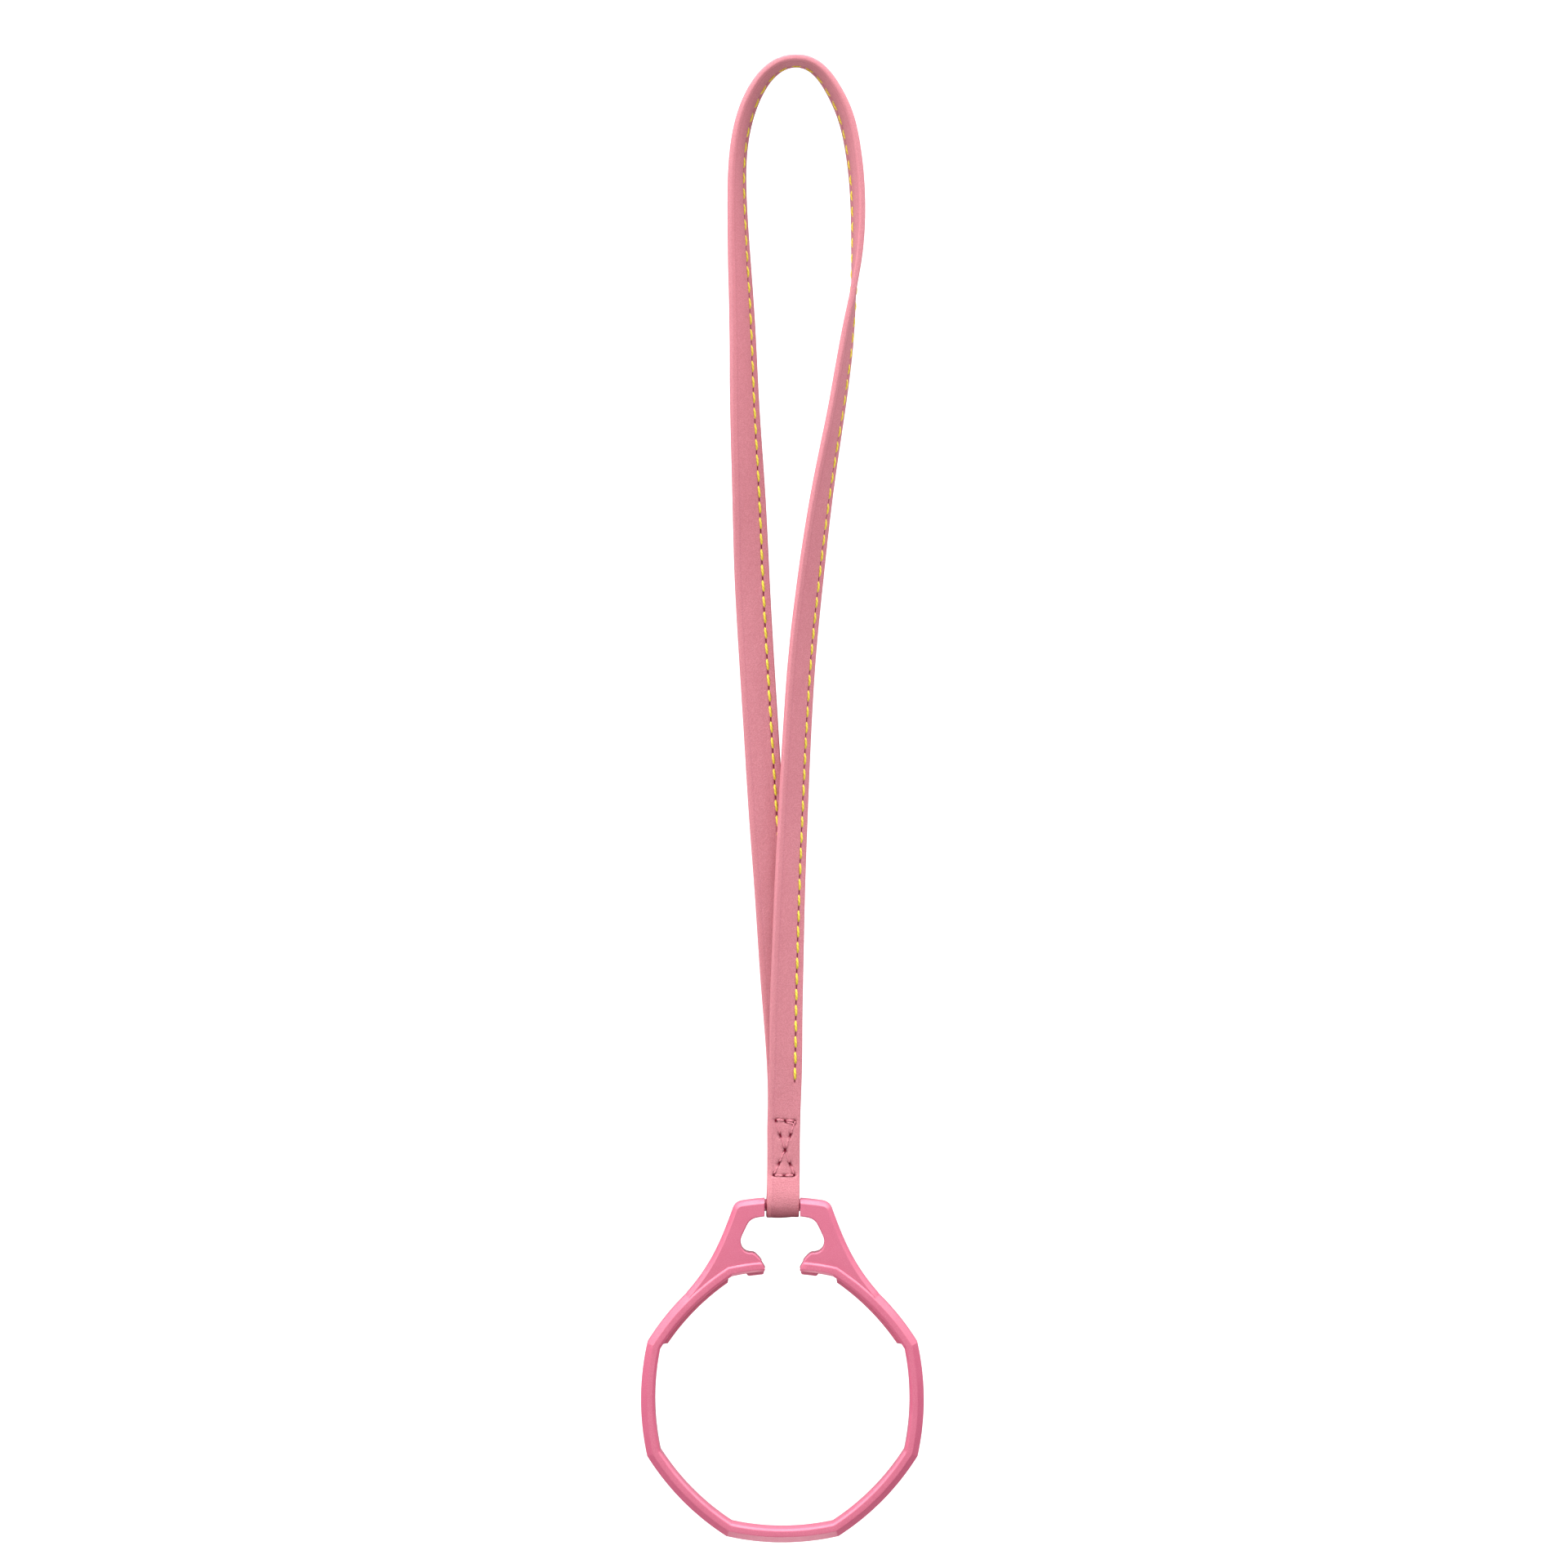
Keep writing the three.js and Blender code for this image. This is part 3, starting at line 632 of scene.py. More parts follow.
# %% Rounded corners
def rounded(corners, reach, steps=5):
    """Each corner of a closed outline becomes a curve: (1-t)^2 before + 2t(1-t) corner + t^2 after."""
    corners = np.asarray(corners, float)
    before = corners + unit(np.roll(corners, 1, 0) - corners) * np.reshape(reach, (-1, 1))
    after = corners + unit(np.roll(corners, -1, 0) - corners) * np.reshape(reach, (-1, 1))
    t = np.linspace(0, 1, steps)[:, None]
    curve = (1 - t) ** 2 * before[:, None] + 2 * t * (1 - t) * corners[:, None] + t**2 * after[:, None]
    return curve.reshape(-1, 2)


RING_DEPTH = 5.0
HANGER_DEPTH = 4.72
RING_WALL = 2.2
OUTER_BEVEL = 0.96
BACK_BEVEL, INNER_BEVEL = 0.4, 0.36
CORNER_REACH = 0.09  # how far the round of a corner reaches along each face


def ring_section(shrink=0.0):
    """The band's section as inset and height, drawn in all round by shrink, and its bevels by less."""
    low, high, inner, less = shrink, RING_DEPTH - shrink, RING_WALL - shrink, shrink * 0.4
    corners = [
        (low, RING_DEPTH - OUTER_BEVEL - less), (low, BACK_BEVEL + less),
        (BACK_BEVEL + less, low), (RING_WALL - INNER_BEVEL - less, low),
        (inner, INNER_BEVEL + less), (inner, RING_DEPTH - INNER_BEVEL - less),
        (RING_WALL - INNER_BEVEL - less, high), (OUTER_BEVEL + less, high),
    ]
    return rounded(corners, CORNER_REACH)


print(len(ring_section()), "points in the band's section")

# %% Ring band
JAW_INSET = [0.0, 0.35, 1.3, 1.9, 2.2]
JAW_END = [3.85, 3.55, 2.85, 2.7, 2.82]
JAW_STEPS = [(0.0, 0.16), (0.045, 0.05), (0.16, 0.0)]  # how far a jaw's rows are pushed out and drawn in
MITRE = 0.988  # rows this close to a mitre keep it crisp
side_shares = np.concatenate([[-1, -MITRE], np.linspace(-0.95, 0.95, 25), [MITRE]])
left_shares = np.append(np.linspace(0.5, 0.95, 9), MITRE)
right_shares = np.concatenate([[-1, -MITRE], np.linspace(-0.95, -0.5, 9)])

# Each row says which way its side faces, its place along it, and how far it is pushed out and drawn in.
ring_rows = [(math.pi / 2, None, push, shrink) for push, shrink in JAW_STEPS]
ring_rows += [(math.pi / 2, share, 0, 0.0) for share in left_shares]
ring_rows += [(side * math.pi / 4, share, 0, 0.0) for side in range(3, 10) for share in side_shares]
ring_rows += [(5 * math.pi / 2, share, 0, 0.0) for share in right_shares]
ring_rows += [(5 * math.pi / 2, None, push, shrink) for push, shrink in JAW_STEPS[::-1]]
band = []
for facing, share, push, shrink in ring_rows:
    inset, height = ring_section(shrink).T
    if share is None:
        beside = np.interp(inset, JAW_INSET, JAW_END) + push
        share = np.arcsin(beside / (side_radius - inset)) / ring_angle(inset)
        share = share if facing < 2 else -share
    x, y = ring_point(facing, share, inset)
    band.append(np.stack([x, y, height], -1))
band = np.array(band)
ring_mesh = tube_mesh("ring_band", band)

# %% [markdown]
# ## The hanger
# The hanger is a plate that rises from the ring's upper sides to the bar. A plate is an outline carried through a
# few levels, drawn in where its edge is bevelled. The window, the place for the strap and the ring's inside are cut
# out of it with solids of the same kind, whose own outlines widen towards the surface, so the cut leaves a rounded
# edge. Only half of each outline is drawn: the holder is the same left and right.

# %% Outlines
def bezier(*controls, steps=14):
    """A curve from the first control point to the last: each point is a blend weighted by the Bernstein terms."""
    controls = np.array(controls, float)
    n = len(controls) - 1
    t = np.linspace(0, 1, steps + 1)[:-1, None]
    weights = [math.comb(n, i) * t**i * (1 - t) ** (n - i) for i in range(n + 1)]
    return sum(w * c for w, c in zip(weights, controls))


def both_halves(*parts):
    """The left half of an outline and its mirror image, as one closed outline that runs counterclockwise."""
    left = np.concatenate([np.atleast_2d(np.array(p, float)) for p in parts])
    right = (left * [-1, 1])[::-1]
    loop = np.concatenate([left, right])
    apart = np.linalg.norm(loop - np.roll(loop, -1, 0), axis=1) > 1e-6
    loop = loop[apart]
    x, y = loop.T
    area = np.sum(x * np.roll(y, -1) - np.roll(x, -1) * y)
    return loop if area > 0 else loop[::-1]


def drawn_in(outline, distance):
    """Moves each point inwards, square to both sides that meet there: the sum of their normals, over 1 + their dot."""
    before = unit(outline - np.roll(outline, 1, 0))
    after = unit(np.roll(outline, -1, 0) - outline)
    inward = np.stack([-before[:, 1] - after[:, 1], before[:, 0] + after[:, 0]], -1)
    return outline + inward * distance / (1 + np.sum(before * after, -1, keepdims=True))


def plate(name, outline, levels):
    """A closed plate: the outline at each level's height, drawn in by that level's distance."""
    rows = [np.column_stack([drawn_in(outline, d), np.full(len(outline), z)]) for z, d in levels]
    return tube_mesh(name, np.array(rows))


hanger_outline = both_halves(
    (-11, 12), (-15.4, 15.6),
    bezier((-15.0, 16.5), (-11.02, 20.99), (-9.46, 25.1), (-7.75, 29.8), steps=28),
    bezier((-7.75, 29.8), (-7.4, 30.7), (-6.3, 30.9), steps=10),
    bezier((-6.3, 30.9), (-3.2, 31.38), (0, 31.38), steps=10), (0, 31.38),
)
window_outline = both_halves(
    (0, 28.7), (-2.8, 28.6),
    bezier((-2.8, 28.6), (-3.6, 28.5), (-4.1, 28.4), steps=6),
    bezier((-4.1, 28.4), (-5.1, 28.15), (-5.5, 27.3), steps=10),
    bezier((-5.5, 27.3), (-5.9, 26.5), (-6.25, 25.75), steps=4),
    bezier((-6.25, 25.75), (-6.95, 24.2), (-6.3, 22.9), (-4.9, 22.9), steps=20),
    bezier((-4.9, 22.9), (-4.5, 22.9), (-4.2, 22.65), steps=5),
    bezier((-4.2, 22.65), (-3.7, 22.2), (-3.3, 21.7), steps=3),
    (-3.25, 21.6), (-3.25, 16),
)
print(len(hanger_outline), "and", len(window_outline), "points")

# %% Hanger and cutters
belt = RING_DEPTH - OUTER_BEVEL
soft = 0.22  # round of the window's edge
quarter = np.radians([0, 30, 60, 90])
climb = soft * (1 - np.cos(quarter))
spread = -soft * (1 - np.sin(quarter))
hanger_levels = [
    (0.012, 0.43), (0.03, 0.38), (0.34, 0.06), (0.45, 0.0), (belt - 0.08, 0.0), (belt + 0.06, 0.06),
    (HANGER_DEPTH - 0.07, HANGER_DEPTH - belt - 0.07), (HANGER_DEPTH - 0.02, HANGER_DEPTH - belt),
    (HANGER_DEPTH, HANGER_DEPTH - belt + 0.06),
]
cut_levels = [
    (-1, -soft - 0.2), *zip(0.012 + climb, spread), *zip(HANGER_DEPTH - climb[::-1], spread[::-1]), (7, -soft - 0.2),
]
octagon = np.concatenate([
    np.stack(ring_point(side * math.pi / 4, np.linspace(-1, 1, 13)[:-1], 1.25), -1) for side in range(8)
])
SLOT_HALF = 2.79  # half the width of the strap's place on the bar
slot = np.array([(-SLOT_HALF, 27.6), (SLOT_HALF, 27.6), (SLOT_HALF, 33.0), (-SLOT_HALF, 33.0)])
slot_levels = [(-1, -0.12), (0.1, 0.0), (HANGER_DEPTH - 0.12, 0.0), (HANGER_DEPTH, -0.12), (7, -0.12)]
hanger_mesh = plate("hanger_plate", hanger_outline, hanger_levels)
cutters = [
    plate("cut_window", window_outline, cut_levels),
    plate("cut_inside", octagon, [(-1, 0), (7, 0)]),
    plate("cut_slot", slot, slot_levels),
]

# %% [markdown]
# ## The bar and the snap ribs
# The bar that the strap turns round is a plain round rod across the slot, moulded with the hanger. The ribs are low
# ridges inside the ring's upper sides and behind the jaws: they snap behind the edge of whatever the ring holds.

# %% Bar and ribs
BAR_RADIUS = 0.95
RIB_ROOT = 1.8  # where a rib starts, inside the ring's wall
RIB_RISE = 0.62
RIB_LOW, RIB_HIGH = 1.2, 2.8


def rod(name, x_low, x_high, y, z, radius, sides=40):
    """A round rod along x: radius times the cosine and sine about its axis."""
    angle = -np.arange(sides) * 2 * np.pi / sides
    ring = np.stack([np.zeros(sides), y + radius * np.cos(angle), z + radius * np.sin(angle)], -1)
    return tube_mesh(name, np.stack([ring + [x_low, 0, 0], ring + [x_high, 0, 0]]))


def rib(name, facing, share_low, share_high):
    """A low ridge inside one side: its section is a rounded box, and its height falls to nothing at both ends."""
    share = np.linspace(share_low, share_high, 33)
    along_side = (share - share_low) / (share_high - share_low)
    length = (share_high - share_low) * half_side
    ends = np.minimum(along_side, 1 - along_side) * length
    rise = RIB_RISE * np.sqrt(1 - (1 - np.clip(ends / RIB_RISE, 0, 1)) ** 2)
    corners = [(RIB_ROOT, RIB_LOW), (RIB_ROOT, RIB_HIGH), (2.8, RIB_HIGH), (2.8, RIB_LOW)]
    section = rounded(corners, [0.05, 0.05, 0.3, 0.3])
    inset = np.maximum(np.minimum(section[:, 0], RING_WALL + rise[:, None]), RIB_ROOT)
    x, y = ring_point(facing, share[:, None], inset)
    return tube_mesh(name, np.stack([x, y, np.broadcast_to(section[:, 1], x.shape)], -1))


additions = [
    ring_mesh,
    rod("strap_bar", -3.4, 3.4, BAR_Y, BAR_Z, BAR_RADIUS),
    rib("rib_left", 3 * math.pi / 4, -0.92, 0.92),
    rib("rib_right", math.pi / 4, -0.92, 0.92),
    rib("rib_jaw_left", math.pi / 2, 0.36, 0.72),
    rib("rib_jaw_right", math.pi / 2, -0.72, -0.36),
]

# %% [markdown]
# ## One moulding
# The pieces overlap, and a real moulding is one solid, so they are cut and joined with Boolean modifiers whose
# results are kept. Each result is then cleaned: points that coincide are merged, and faces are pointed outwards.

# %% Join the holder
SHARP_ANGLE = math.radians(38)


def combine(mesh, other, operation):
    """The mesh after a Boolean with another one."""
    first = into_scene("first", mesh)
    second = into_scene("second", other)
    step = first.modifiers.new("join", "BOOLEAN")
    step.operation = operation
    step.solver = "EXACT"
    step.object = second
    bpy.context.view_layer.update()
    evaluated = first.evaluated_get(bpy.context.evaluated_depsgraph_get())
    result = bpy.data.meshes.new_from_object(evaluated)
    for piece in (first, second):
        bpy.data.objects.remove(piece)
    return result


def point_outwards(mesh):
    """Merges doubled points and turns every face outwards."""
    work = bmesh.new()
    work.from_mesh(mesh)
    bmesh.ops.remove_doubles(work, verts=work.verts, dist=1e-7)
    bmesh.ops.recalc_face_normals(work, faces=work.faces)
    work.to_mesh(mesh)
    work.free()
    return mesh


holder_mesh = point_outwards(hanger_mesh)
for cutter in cutters:
    holder_mesh = combine(holder_mesh, point_outwards(cutter), "DIFFERENCE")
for addition in additions:
    holder_mesh = combine(holder_mesh, point_outwards(addition), "UNION")
holder_mesh = point_outwards(holder_mesh)
holder_mesh.name = "holder_moulding"
holder_mesh.polygons.foreach_set("use_smooth", np.ones(len(holder_mesh.polygons), bool))
holder_mesh.set_sharp_from_angle(angle=SHARP_ANGLE)
holder = add_piece("snap_in_holder", holder_mesh, "holder", ["holder_frame"])
holder.modifiers.new("flat_faces_stay_flat", "WEIGHTED_NORMAL").keep_sharp = True
print("holder:", len(holder_mesh.polygons), "faces")

# %% [markdown]
# ## Building materials with nodes
# Every finish below is a network of shader nodes. Writing each link by hand soon hides what the network does, so
# small helpers make a node, set its values and join its inputs in one line. A socket knows which network it is in,
# so most of the helpers need only the sockets they work on.

# %% Node helpers
def feed(socket, value):
    """Links a socket to another one, or sets its value. A colour may be written as six hexadecimal digits."""
    if isinstance(value, bpy.types.NodeSocket):
        socket.id_data.links.new(value, socket)
    else:
        socket.default_value = colour(value) if isinstance(value, str) else value


def colour(code):
    """A colour written as six hexadecimal digits, as the linear light that nodes work in."""
    values = np.array([int(code[i : i + 2], 16) / 255 for i in (0, 2, 4)])
    linear = np.where(values <= 0.04045, values / 12.92, ((values + 0.055) / 1.055) ** 2.4)
    return (*(float(v) for v in linear), 1.0)


def add_node(tree, kind, inputs=None, **settings):
    """Adds a shader node. Settings are its own properties; inputs are numbers, colours, or sockets to link from."""
    node = tree.nodes.new("ShaderNode" + kind)
    for key, value in settings.items():
        setattr(node, key, value)
    for key, value in (inputs or {}).items():
        feed(node.inputs[key], value)
    return node


def place_group(tree, group, inputs):
    """Puts a node group in a network."""
    node = tree.nodes.new("ShaderNodeGroup")
    node.node_tree = group
    for key, value in inputs.items():
        feed(node.inputs[key], value)
    return node.outputs


# %% Arithmetic on sockets
def math_node(operation, *values):
    """A Math node's output for numbers and sockets, of which at least one is a socket."""
    tree = next(value.id_data for value in values if isinstance(value, bpy.types.NodeSocket))
    return add_node(tree, "Math", dict(enumerate(values)), operation=operation).outputs[0]


def times(first, second):
    return math_node("MULTIPLY", first, second)


def plus(first, second):
    return math_node("ADD", first, second)


def distance(value, target):
    """How far a value is from a number."""
    return math_node("ABSOLUTE", math_node("SUBTRACT", value, target))


def opposite(value):
    """1 minus the value."""
    return math_node("SUBTRACT", 1.0, value)


def fade(value, low, high):
    """0 below low, 1 above high, and a smooth climb between."""
    inputs = {"Value": value, "From Min": low, "From Max": high}
    return add_node(value.id_data, "MapRange", inputs, interpolation_type="SMOOTHSTEP").outputs["Result"]


def blend_colour(share, first, second):
    """A colour between two colours or sockets."""
    node = add_node(share.id_data, "Mix", {"Factor": share}, data_type="RGBA")
    feed(node.inputs[6], first)
    feed(node.inputs[7], second)
    return node.outputs[2]


# %% Patterns and relief
def noise(vector, scale, detail, roughness=0.5):
    """Cloudy noise at a point."""
    inputs = {"Vector": vector, "Scale": scale, "Detail": detail, "Roughness": roughness}
    return add_node(vector.id_data, "TexNoise", inputs).outputs["Fac"]


def bump(height, strength, depth, under=None):
    """Relief whose heights are a share of a depth in metres, laid over other relief if there is some."""
    inputs = {"Height": height, "Strength": strength, "Distance": depth}
    if under is not None:
        inputs["Normal"] = under
    return add_node(height.id_data, "Bump", inputs).outputs[0]


def mark(tree, name):
    """A number that a piece's points carry under that name."""
    return add_node(tree, "Attribute", attribute_name=name).outputs["Fac"]


def object_place(tree):
    return add_node(tree, "TexCoord").outputs["Object"]


def cloth_place(tree):
    """Place on the piece: X along it and Y round it, in mm."""
    return add_node(tree, "UVMap", uv_map="cloth").outputs["UV"]


# %% Materials and groups
def new_group(name, inputs, outputs):
    """An empty node group with named sockets, and its input and output nodes."""
    group = bpy.data.node_groups.new(name, "ShaderNodeTree")
    for socket_name, kind, value in inputs:
        socket = group.interface.new_socket(socket_name, in_out="INPUT", socket_type="NodeSocket" + kind)
        if value is not None:
            socket.default_value = value
    for socket_name in outputs:
        group.interface.new_socket(socket_name, in_out="OUTPUT", socket_type="NodeSocketFloat")
    return group, group.nodes.new("NodeGroupInput").outputs, group.nodes.new("NodeGroupOutput").inputs


def new_material(name):
    """A material with an empty network, its Principled shader's inputs, and that shader joined to the output."""
    material = bpy.data.materials.new(name)
    material.use_nodes = True
    tree = material.node_tree
    tree.nodes.clear()
    shader = tree.nodes.new("ShaderNodeBsdfPrincipled")
    output = tree.nodes.new("ShaderNodeOutputMaterial")
    tree.links.new(shader.outputs[0], output.inputs["Surface"])
    return material, tree, shader.inputs


def dress(piece, material):
    """Gives a piece one material all over."""
    piece.data.materials.clear()
    piece.data.materials.append(material)


print("node helpers ready")

# %% [markdown]
# ## Shared effects
# Three effects are node groups, each built once. Mottle is slow variation in tone, which nothing real is without,
# and comes back in every finish. Grain is the relief of a skin: small cells with creases between them, used by the
# leather. Ply is the slanting stripe of twisted yarn, used by both threads.

# %% Mottle group
mottle, given, result = new_group(
    "mottle", [("Vector", "Vector", None), ("Scale", "Float", 300.0), ("Low", "Float", 0.0), ("High", "Float", 1.0)],
    ["Value"],
)
spread = add_node(mottle, "MapRange", {
    "Value": noise(given["Vector"], given["Scale"], 4.0, 0.55),
    "From Min": 0.3, "From Max": 0.7, "To Min": given["Low"], "To Max": given["High"],
})
feed(result["Value"], spread.outputs["Result"])
print("mottle:", len(mottle.nodes), "nodes")


def mottled(vector, scale, low=0.0, high=1.0):
    """Slow variation between low and high."""
    return place_group(vector.id_data, mottle, {"Vector": vector, "Scale": scale, "Low": low, "High": high})["Value"]


# %% Grain group
WANDER = 0.0002  # how far the cells are pushed out of a regular pattern
grain, given, result = new_group(
    "grain", [("Vector", "Vector", None), ("Cells", "Float", 2500.0), ("Creases", "Float", 900.0),
              ("Crease Depth", "Float", 0.5)],
    ["Height", "Crease"],
)
wander = add_node(grain, "TexNoise", {"Vector": given["Vector"], "Scale": given["Creases"], "Detail": 3.0})
shift = add_node(grain, "VectorMath", {0: wander.outputs["Color"], "Scale": WANDER}, operation="SCALE")
moved = add_node(grain, "VectorMath", {0: given["Vector"], 1: shift.outputs[0]}, operation="ADD").outputs[0]
cell_inputs = {"Vector": moved, "Scale": given["Cells"], "Smoothness": 0.35}
cells = add_node(grain, "TexVoronoi", cell_inputs, feature="SMOOTH_F1")
pebble = opposite(fade(cells.outputs["Distance"], 0.1, 0.75))
ridge = distance(noise(moved, given["Creases"], 5.0, 0.6), 0.5)
crease = opposite(fade(ridge, 0.0, 0.045))
feed(result["Height"], math_node("SUBTRACT", pebble, times(crease, given["Crease Depth"])))
feed(result["Crease"], crease)
print("grain:", len(grain.nodes), "nodes")

# %% Ply group
ply, given, result = new_group(
    "ply", [("Vector", "Vector", None), ("Turns", "Float", 1.4), ("Girth", "Float", 1.24)], ["Height", "Groove"],
)
place = add_node(ply, "SeparateXYZ", {"Vector": given["Vector"]}).outputs
round_share = math_node("DIVIDE", place["Y"], given["Girth"])
phase = times(plus(times(place["X"], given["Turns"]), times(round_share, 2.0)), 2 * math.pi)
wave = math_node("ABSOLUTE", math_node("SINE", times(phase, 0.5)))
feed(result["Height"], wave)
feed(result["Groove"], opposite(fade(wave, 0.0, 0.75)))
print("ply:", len(ply.nodes), "nodes")

# %% [markdown]
# ## Satin plastic
# The holder is moulded in a mould whose steel was finely blasted, so its skin has a very fine, even texture and a
# soft sheen. One colour would look like a drawing: handling polishes some places more than others, so the roughness
# drifts slowly over the surface, and the fine texture breaks the highlights up. The bar lies in the shade between
# the strap's edges and the slot, and that shade is painted into its colour as a deep pink.

# %% Holder material
BAR_REACH = 0.00276  # metres from the middle, just short of the slot's walls
SLOT_START = -0.0652  # where the slot begins along Y
material, tree, shader = new_material("satin_pink_plastic")
where = object_place(tree)
blast = noise(where, 8500.0, 2.0, 0.6)
tone = blend_colour(mottled(where, 160.0), "ce5c7d", "d26383")
speck = blend_colour(times(fade(blast, 0.42, 0.72), 0.22), tone, "ee98ae")
spot = add_node(tree, "SeparateXYZ", {"Vector": where}).outputs
between_walls = math_node("LESS_THAN", math_node("ABSOLUTE", spot["X"]), BAR_REACH)
slot_shade = times(between_walls, math_node("GREATER_THAN", spot["Y"], SLOT_START))
# Painted shade: between the slot's walls the bar's colour is turned to a deep pink.
feed(shader["Base Color"], blend_colour(slot_shade, speck, "b01a50"))
feed(shader["Roughness"], plus(mottled(where, 420.0, 0.34, 0.46), times(blast, 0.08)))
relief = bump(blast, 0.5, 0.00003)
feed(shader["Normal"], bump(noise(where, 700.0, 3.0), 0.12, 0.00004, relief))
feed(shader["IOR"], 1.52)
feed(shader["Specular IOR Level"], 0.8)
feed(shader["Specular Tint"], (1.0, 0.92, 0.88, 1.0))
dress(holder, material)
print("plastic:", len(tree.nodes), "nodes")

# %% [markdown]
# ## Leather
# The strap's leather is thin, smooth and rose pink. It has a fine grain, faint creases that run slantwise where the
# strap bends, and a raw edge where it was cut. Shade is painted into its colour between the grain's pebbles, in the
# creases, along the seam, down in the stitch holes and the tack's slots, on the turn round the bar and from under the
# bar to the strap's end; a highlight is painted along the fold. The marks that belong to a place on the strap read
# the strap's own attributes: how far a point is from the cut edge, and whether it is sewn.

# %% Leather: marks and patterns
material, tree, shader = new_material("rose_leather")
where = object_place(tree)
along_strap = cloth_place(tree)
marks = {name: mark(tree, name) for name in leather_marks}
skewed = add_node(tree, "Mapping", {
    "Vector": along_strap, "Rotation": (0, 0, math.radians(50)), "Scale": (0.34, 0.17, 1.0),
}, vector_type="TEXTURE")
wrinkles = noise(skewed.outputs[0], 1.0, 2.0)
skin_inputs = {"Vector": where, "Cells": 5400.0, "Creases": 1500.0, "Crease Depth": 0.05}
skin_grain = place_group(tree, grain, skin_inputs)
tone = mottled(where, 60.0)
print("marks:", list(marks))

# %% Leather: painted shade at the seam's slits and under its thread
u = add_node(tree, "SeparateXYZ", {"Vector": along_strap}).outputs["X"]
share = math_node("FRACT", plus(math_node("DIVIDE", u, float(pitch)), 0.5))
to_next_hole = times(distance(share, 0.5), float(pitch))
to_line = distance(marks["from_cut_edge"], SEAM_INSET)
in_slit = opposite(fade(to_next_hole, 0.4, 0.52))
# Painted shade in the slits at the seam's holes.
hole = times(times(in_slit, opposite(fade(to_line, 0.05, 0.12))), marks["sewn"])
# Painted shade along the seam line, where the thread lies in its groove.
thread_line_shade = times(opposite(fade(to_line, 0.15, 0.34)), marks["sewn"])
print("slits every", round(float(pitch), 3), "mm")

# %% Leather: colours
LEATHER_LAYERS = [
    (times(mottled(where, 1500.0), 0.3), "e398a2"),  # fine tone
    (times(opposite(fade(skin_grain["Height"], 0.0, 0.8)), 0.4), "b8606f"),  # painted shade between the grain's pebbles
    (times(fade(wrinkles, 0.54, 0.36), 0.25), "c06f7c"),  # painted shade in the wrinkles
    # painted shade along the seam under the thread
    (times(thread_line_shade, 0.3), "bd6b79"),
    # painted shade down in the seam's stitch holes
    (times(hole, 0.95), "701c2e"),
    (times(fade(marks["dent"], 0.55, 1.0), 0.9), "731d30"),  # painted shade in the tack's slots
    # painted shade on the turn round the bar
    (times(marks["wrap"], 0.4), "c4727f"),
    (times(math_node("POWER", marks["under_bar_shade"], 1.2), 0.95), "722b38"),  # painted shade from under the bar to the strap's end
    (times(fade(marks["from_fold"], 0.85, 0.6), 0.25), "e8959f"),  # painted highlight along the round of the fold
    (times(opposite(fade(distance(marks["from_fold"], 0.95), 0.02, 0.14)), 0.25), "b9667a"),  # pressed line
    (times(opposite(fade(marks["from_cut_edge"], 0.0, 0.05)), 0.5), "c98390"),  # raw edge
    (marks["inside"], "b98a86"),
]
base = blend_colour(tone, "d0818c", "d48690")
for share, code in LEATHER_LAYERS:
    base = blend_colour(share, base, code)
feed(shader["Base Color"], base)
print(len(LEATHER_LAYERS), "layers of colour")

# %% Leather: gloss and relief
feed(shader["Roughness"], plus(plus(0.48, times(skin_grain["Crease"], 0.12)), times(tone, 0.06)))
# The reflection is taken away where shade is painted: the seam's holes, the tack's slots and from under the bar on.
painted_shade_spots = math_node("MAXIMUM", math_node("MAXIMUM", hole, fade(marks["dent"], 0.4, 0.8)), times(marks["under_bar_shade"], 0.7))
feed(shader["Specular IOR Level"], times(opposite(painted_shade_spots), 0.5))
pebbles = bump(skin_grain["Height"], plus(0.29, times(marks["wrap"], 0.45)), 0.00006)
feed(shader["Normal"], bump(wrinkles, 0.45, 0.00008, pebbles))
dress(leather, material)
print("leather:", len(tree.nodes), "nodes")

# %% [markdown]
# ## Threads and tape
# The seam is sewn in a bright yellow thread so that it shows, and the tack in a thread that hides. Both are twisted
# from plies: the stripe between two plies is dull and has shade painted into its colour, and the yarn between catches
# the light. Where a thread goes into its hole, shade is painted on it in dark maroon. The tape that
# stops the strap from stretching lies inside the fold, and has a plain weave of undyed yarn.

# %% Thread materials
def thread_material(name, light, dark, girth, groove):
    """Twisted sewing thread in a light colour, with shade painted into the groove between plies and where it goes into
    its holes.
    """
    material, tree, shader = new_material(name)
    twist = place_group(tree, ply, {"Vector": cloth_place(tree), "Turns": 1.5, "Girth": girth})
    where = object_place(tree)
    fuzz = mottled(where, 5200.0)
    # Painted shade where the thread goes into its hole: it turns dark maroon and loses its reflection.
    down = fade(mark(tree, "sunk"), 0.05, 0.5)
    base = blend_colour(times(mottled(where, 240.0), 0.3), light, dark)
    # painted shade in the groove between plies
    base = blend_colour(times(twist["Groove"], groove), base, dark)
    base = blend_colour(times(fuzz, 0.15), base, light)
    feed(shader["Base Color"], blend_colour(down, base, "701c2e"))
    feed(shader["Specular IOR Level"], times(opposite(down), 0.5))
    feed(shader["Roughness"], plus(0.42, times(twist["Groove"], 0.3)))
    feed(shader["Normal"], bump(fuzz, 0.3, 0.00002, bump(twist["Height"], 0.6, 0.00006)))
    return material


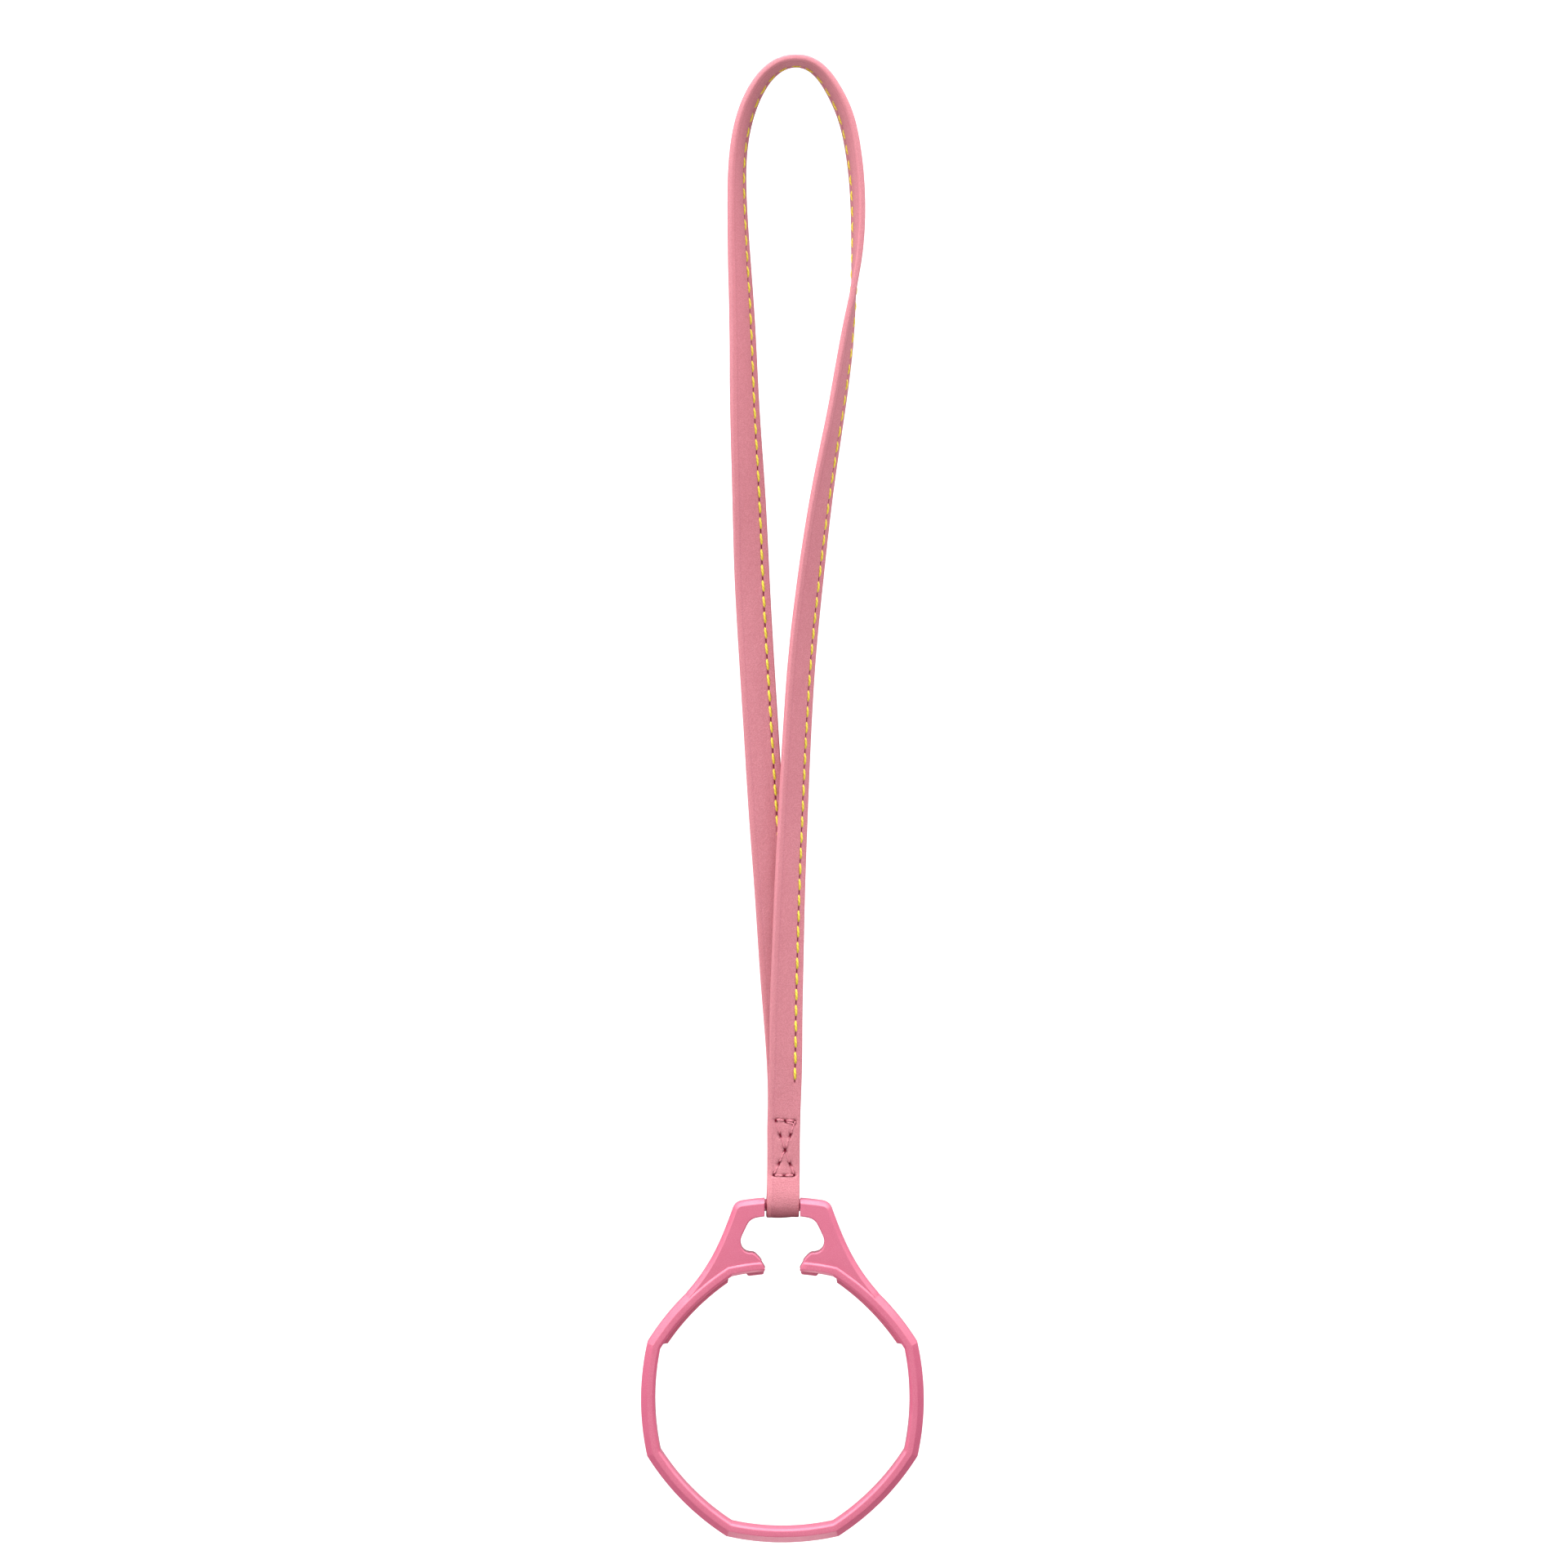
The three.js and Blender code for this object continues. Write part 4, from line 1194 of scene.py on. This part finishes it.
yellow = thread_material("yellow_thread", "f8e84c", "c4a61e", 1.24, 0.6)
rose = thread_material("rose_thread", "d5828e", "b9667a", 1.04, 0.3)
for yarns, material in ((seam_yarns, yellow), (tack_yarns, rose)):
    for yarn in yarns:
        dress(yarn, material)
print("threads dressed")

# %% Tape material
material, tree, shader = new_material("undyed_tape")
where = object_place(tree)
weave, cross = (
    add_node(tree, "TexWave", {"Vector": where, "Scale": scale, "Distortion": 0.4}, bands_direction=way).outputs["Fac"]
    for scale, way in ((900.0, "Y"), (700.0, "X"))
)
cloth = times(weave, cross)
base = blend_colour(cloth, "cfc4b8", "efe7dd")
feed(shader["Base Color"], blend_colour(times(mottled(where, 2500.0), 0.3), base, "b9ac9e"))
feed(shader["Roughness"], 0.9)
feed(shader["Normal"], bump(cloth, 0.6, 0.00005))
dress(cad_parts["strap_core_tape"], material)
print("tape dressed")

# %% [markdown]
# ## Floor and light
# The floor is plain and nearly white. It lies a hand's length below the strap, for two reasons: the strap can then
# swing down about the bar without going through it, and the picture has no shadow that hides the outline.
#
# One wide lamp overhead lights every face that looks up. Low lamps beyond the top of the loop are mirrored in the
# bevels that face them, which is what makes a bevel read as a bevel. A small low one on the near side does the same
# for the bottom of the ring, and one on each side reaches the ring's flanks and the inner faces of the loop.

# %% Floor
FLOOR_DROP = 0.19  # the loop reaches 180 mm below the bar when it hangs straight down
FLOOR_REACH = 30.0
material, tree, shader = new_material("white_floor")
seen = add_node(tree, "LightPath").outputs["Is Camera Ray"]
surface = blend_colour(mottled(object_place(tree), 30.0), "b4b4b4", "b8b8b8")
feed(shader["Base Color"], blend_colour(seen, (0.35, 0.35, 0.35, 1), surface))
feed(shader["Emission Color"], (1, 1, 1, 1))
feed(shader["Emission Strength"], times(seen, 0.72))
feed(shader["Roughness"], 0.9)
feed(shader["Specular IOR Level"], 0.1)
floor_mesh = bpy.data.meshes.new("floor")
corners = [(x * FLOOR_REACH, y * FLOOR_REACH, -FLOOR_DROP) for x, y in ((-1, -1), (1, -1), (1, 1), (-1, 1))]
floor_mesh.from_pydata(corners, [], [(0, 1, 2, 3)])
floor = into_scene("floor", floor_mesh)
dress(floor, material)

# %% Lamps
LAMPS = [
    # name, place, target, size, power
    ("lamp_overhead", (-0.2, 0.85, 1.3), (0, 0.6, 0), (3.0, 3.0), 36.5),
    ("lamp_left", (-1.1, 0.45, 0.5), (0, 0, 0), (0.8, 0.8), 5.7),
    ("lamp_right", (1.1, 0.45, 0.5), (0, 0, 0), (0.8, 0.8), 3.4),
    ("lamp_beyond", (0.0, 1.35, 0.22), (0, 0, 0), (1.7, 0.4), 23.0),
    ("lamp_beyond_left", (-1.0, 1.0, 0.22), (0, 0, 0), (0.7, 0.4), 8.0),
    ("lamp_beyond_right", (1.0, 1.0, 0.22), (0, 0, 0), (0.7, 0.4), 8.0),
    ("lamp_near", (0.0, -1.3, 0.14), (0, 0, 0), (0.35, 0.3), 7.2),
]


def soft_lamp(name, place, target, size, power):
    """A flat lamp that faces a target: its local -Z axis is turned towards it."""
    data = bpy.data.lights.new(name, "AREA")
    data.shape = "RECTANGLE"
    data.size, data.size_y = size
    data.energy = power
    lamp = into_scene(name, data)
    lamp.location = place
    heading = np.array(target, float) - np.array(place, float)
    yaw = math.atan2(heading[1], heading[0])
    pitch_down = math.atan2(-heading[2], math.hypot(heading[0], heading[1]))
    lamp.rotation_euler = (math.pi / 2 - pitch_down, 0, yaw - math.pi / 2)


for lamp in LAMPS:
    soft_lamp(*lamp)
print(len(LAMPS), "lamps")

# %% Surroundings
world = bpy.data.worlds.new("studio")
world.use_nodes = True
background = world.node_tree.nodes["Background"].inputs
feed(background["Color"], (1, 1, 1, 1))
feed(background["Strength"], 0.08)
bpy.context.scene.world = world
bpy.context.scene.view_settings.view_transform = "Standard"
print("world:", world.name)

# %% Finish
print("scene built")
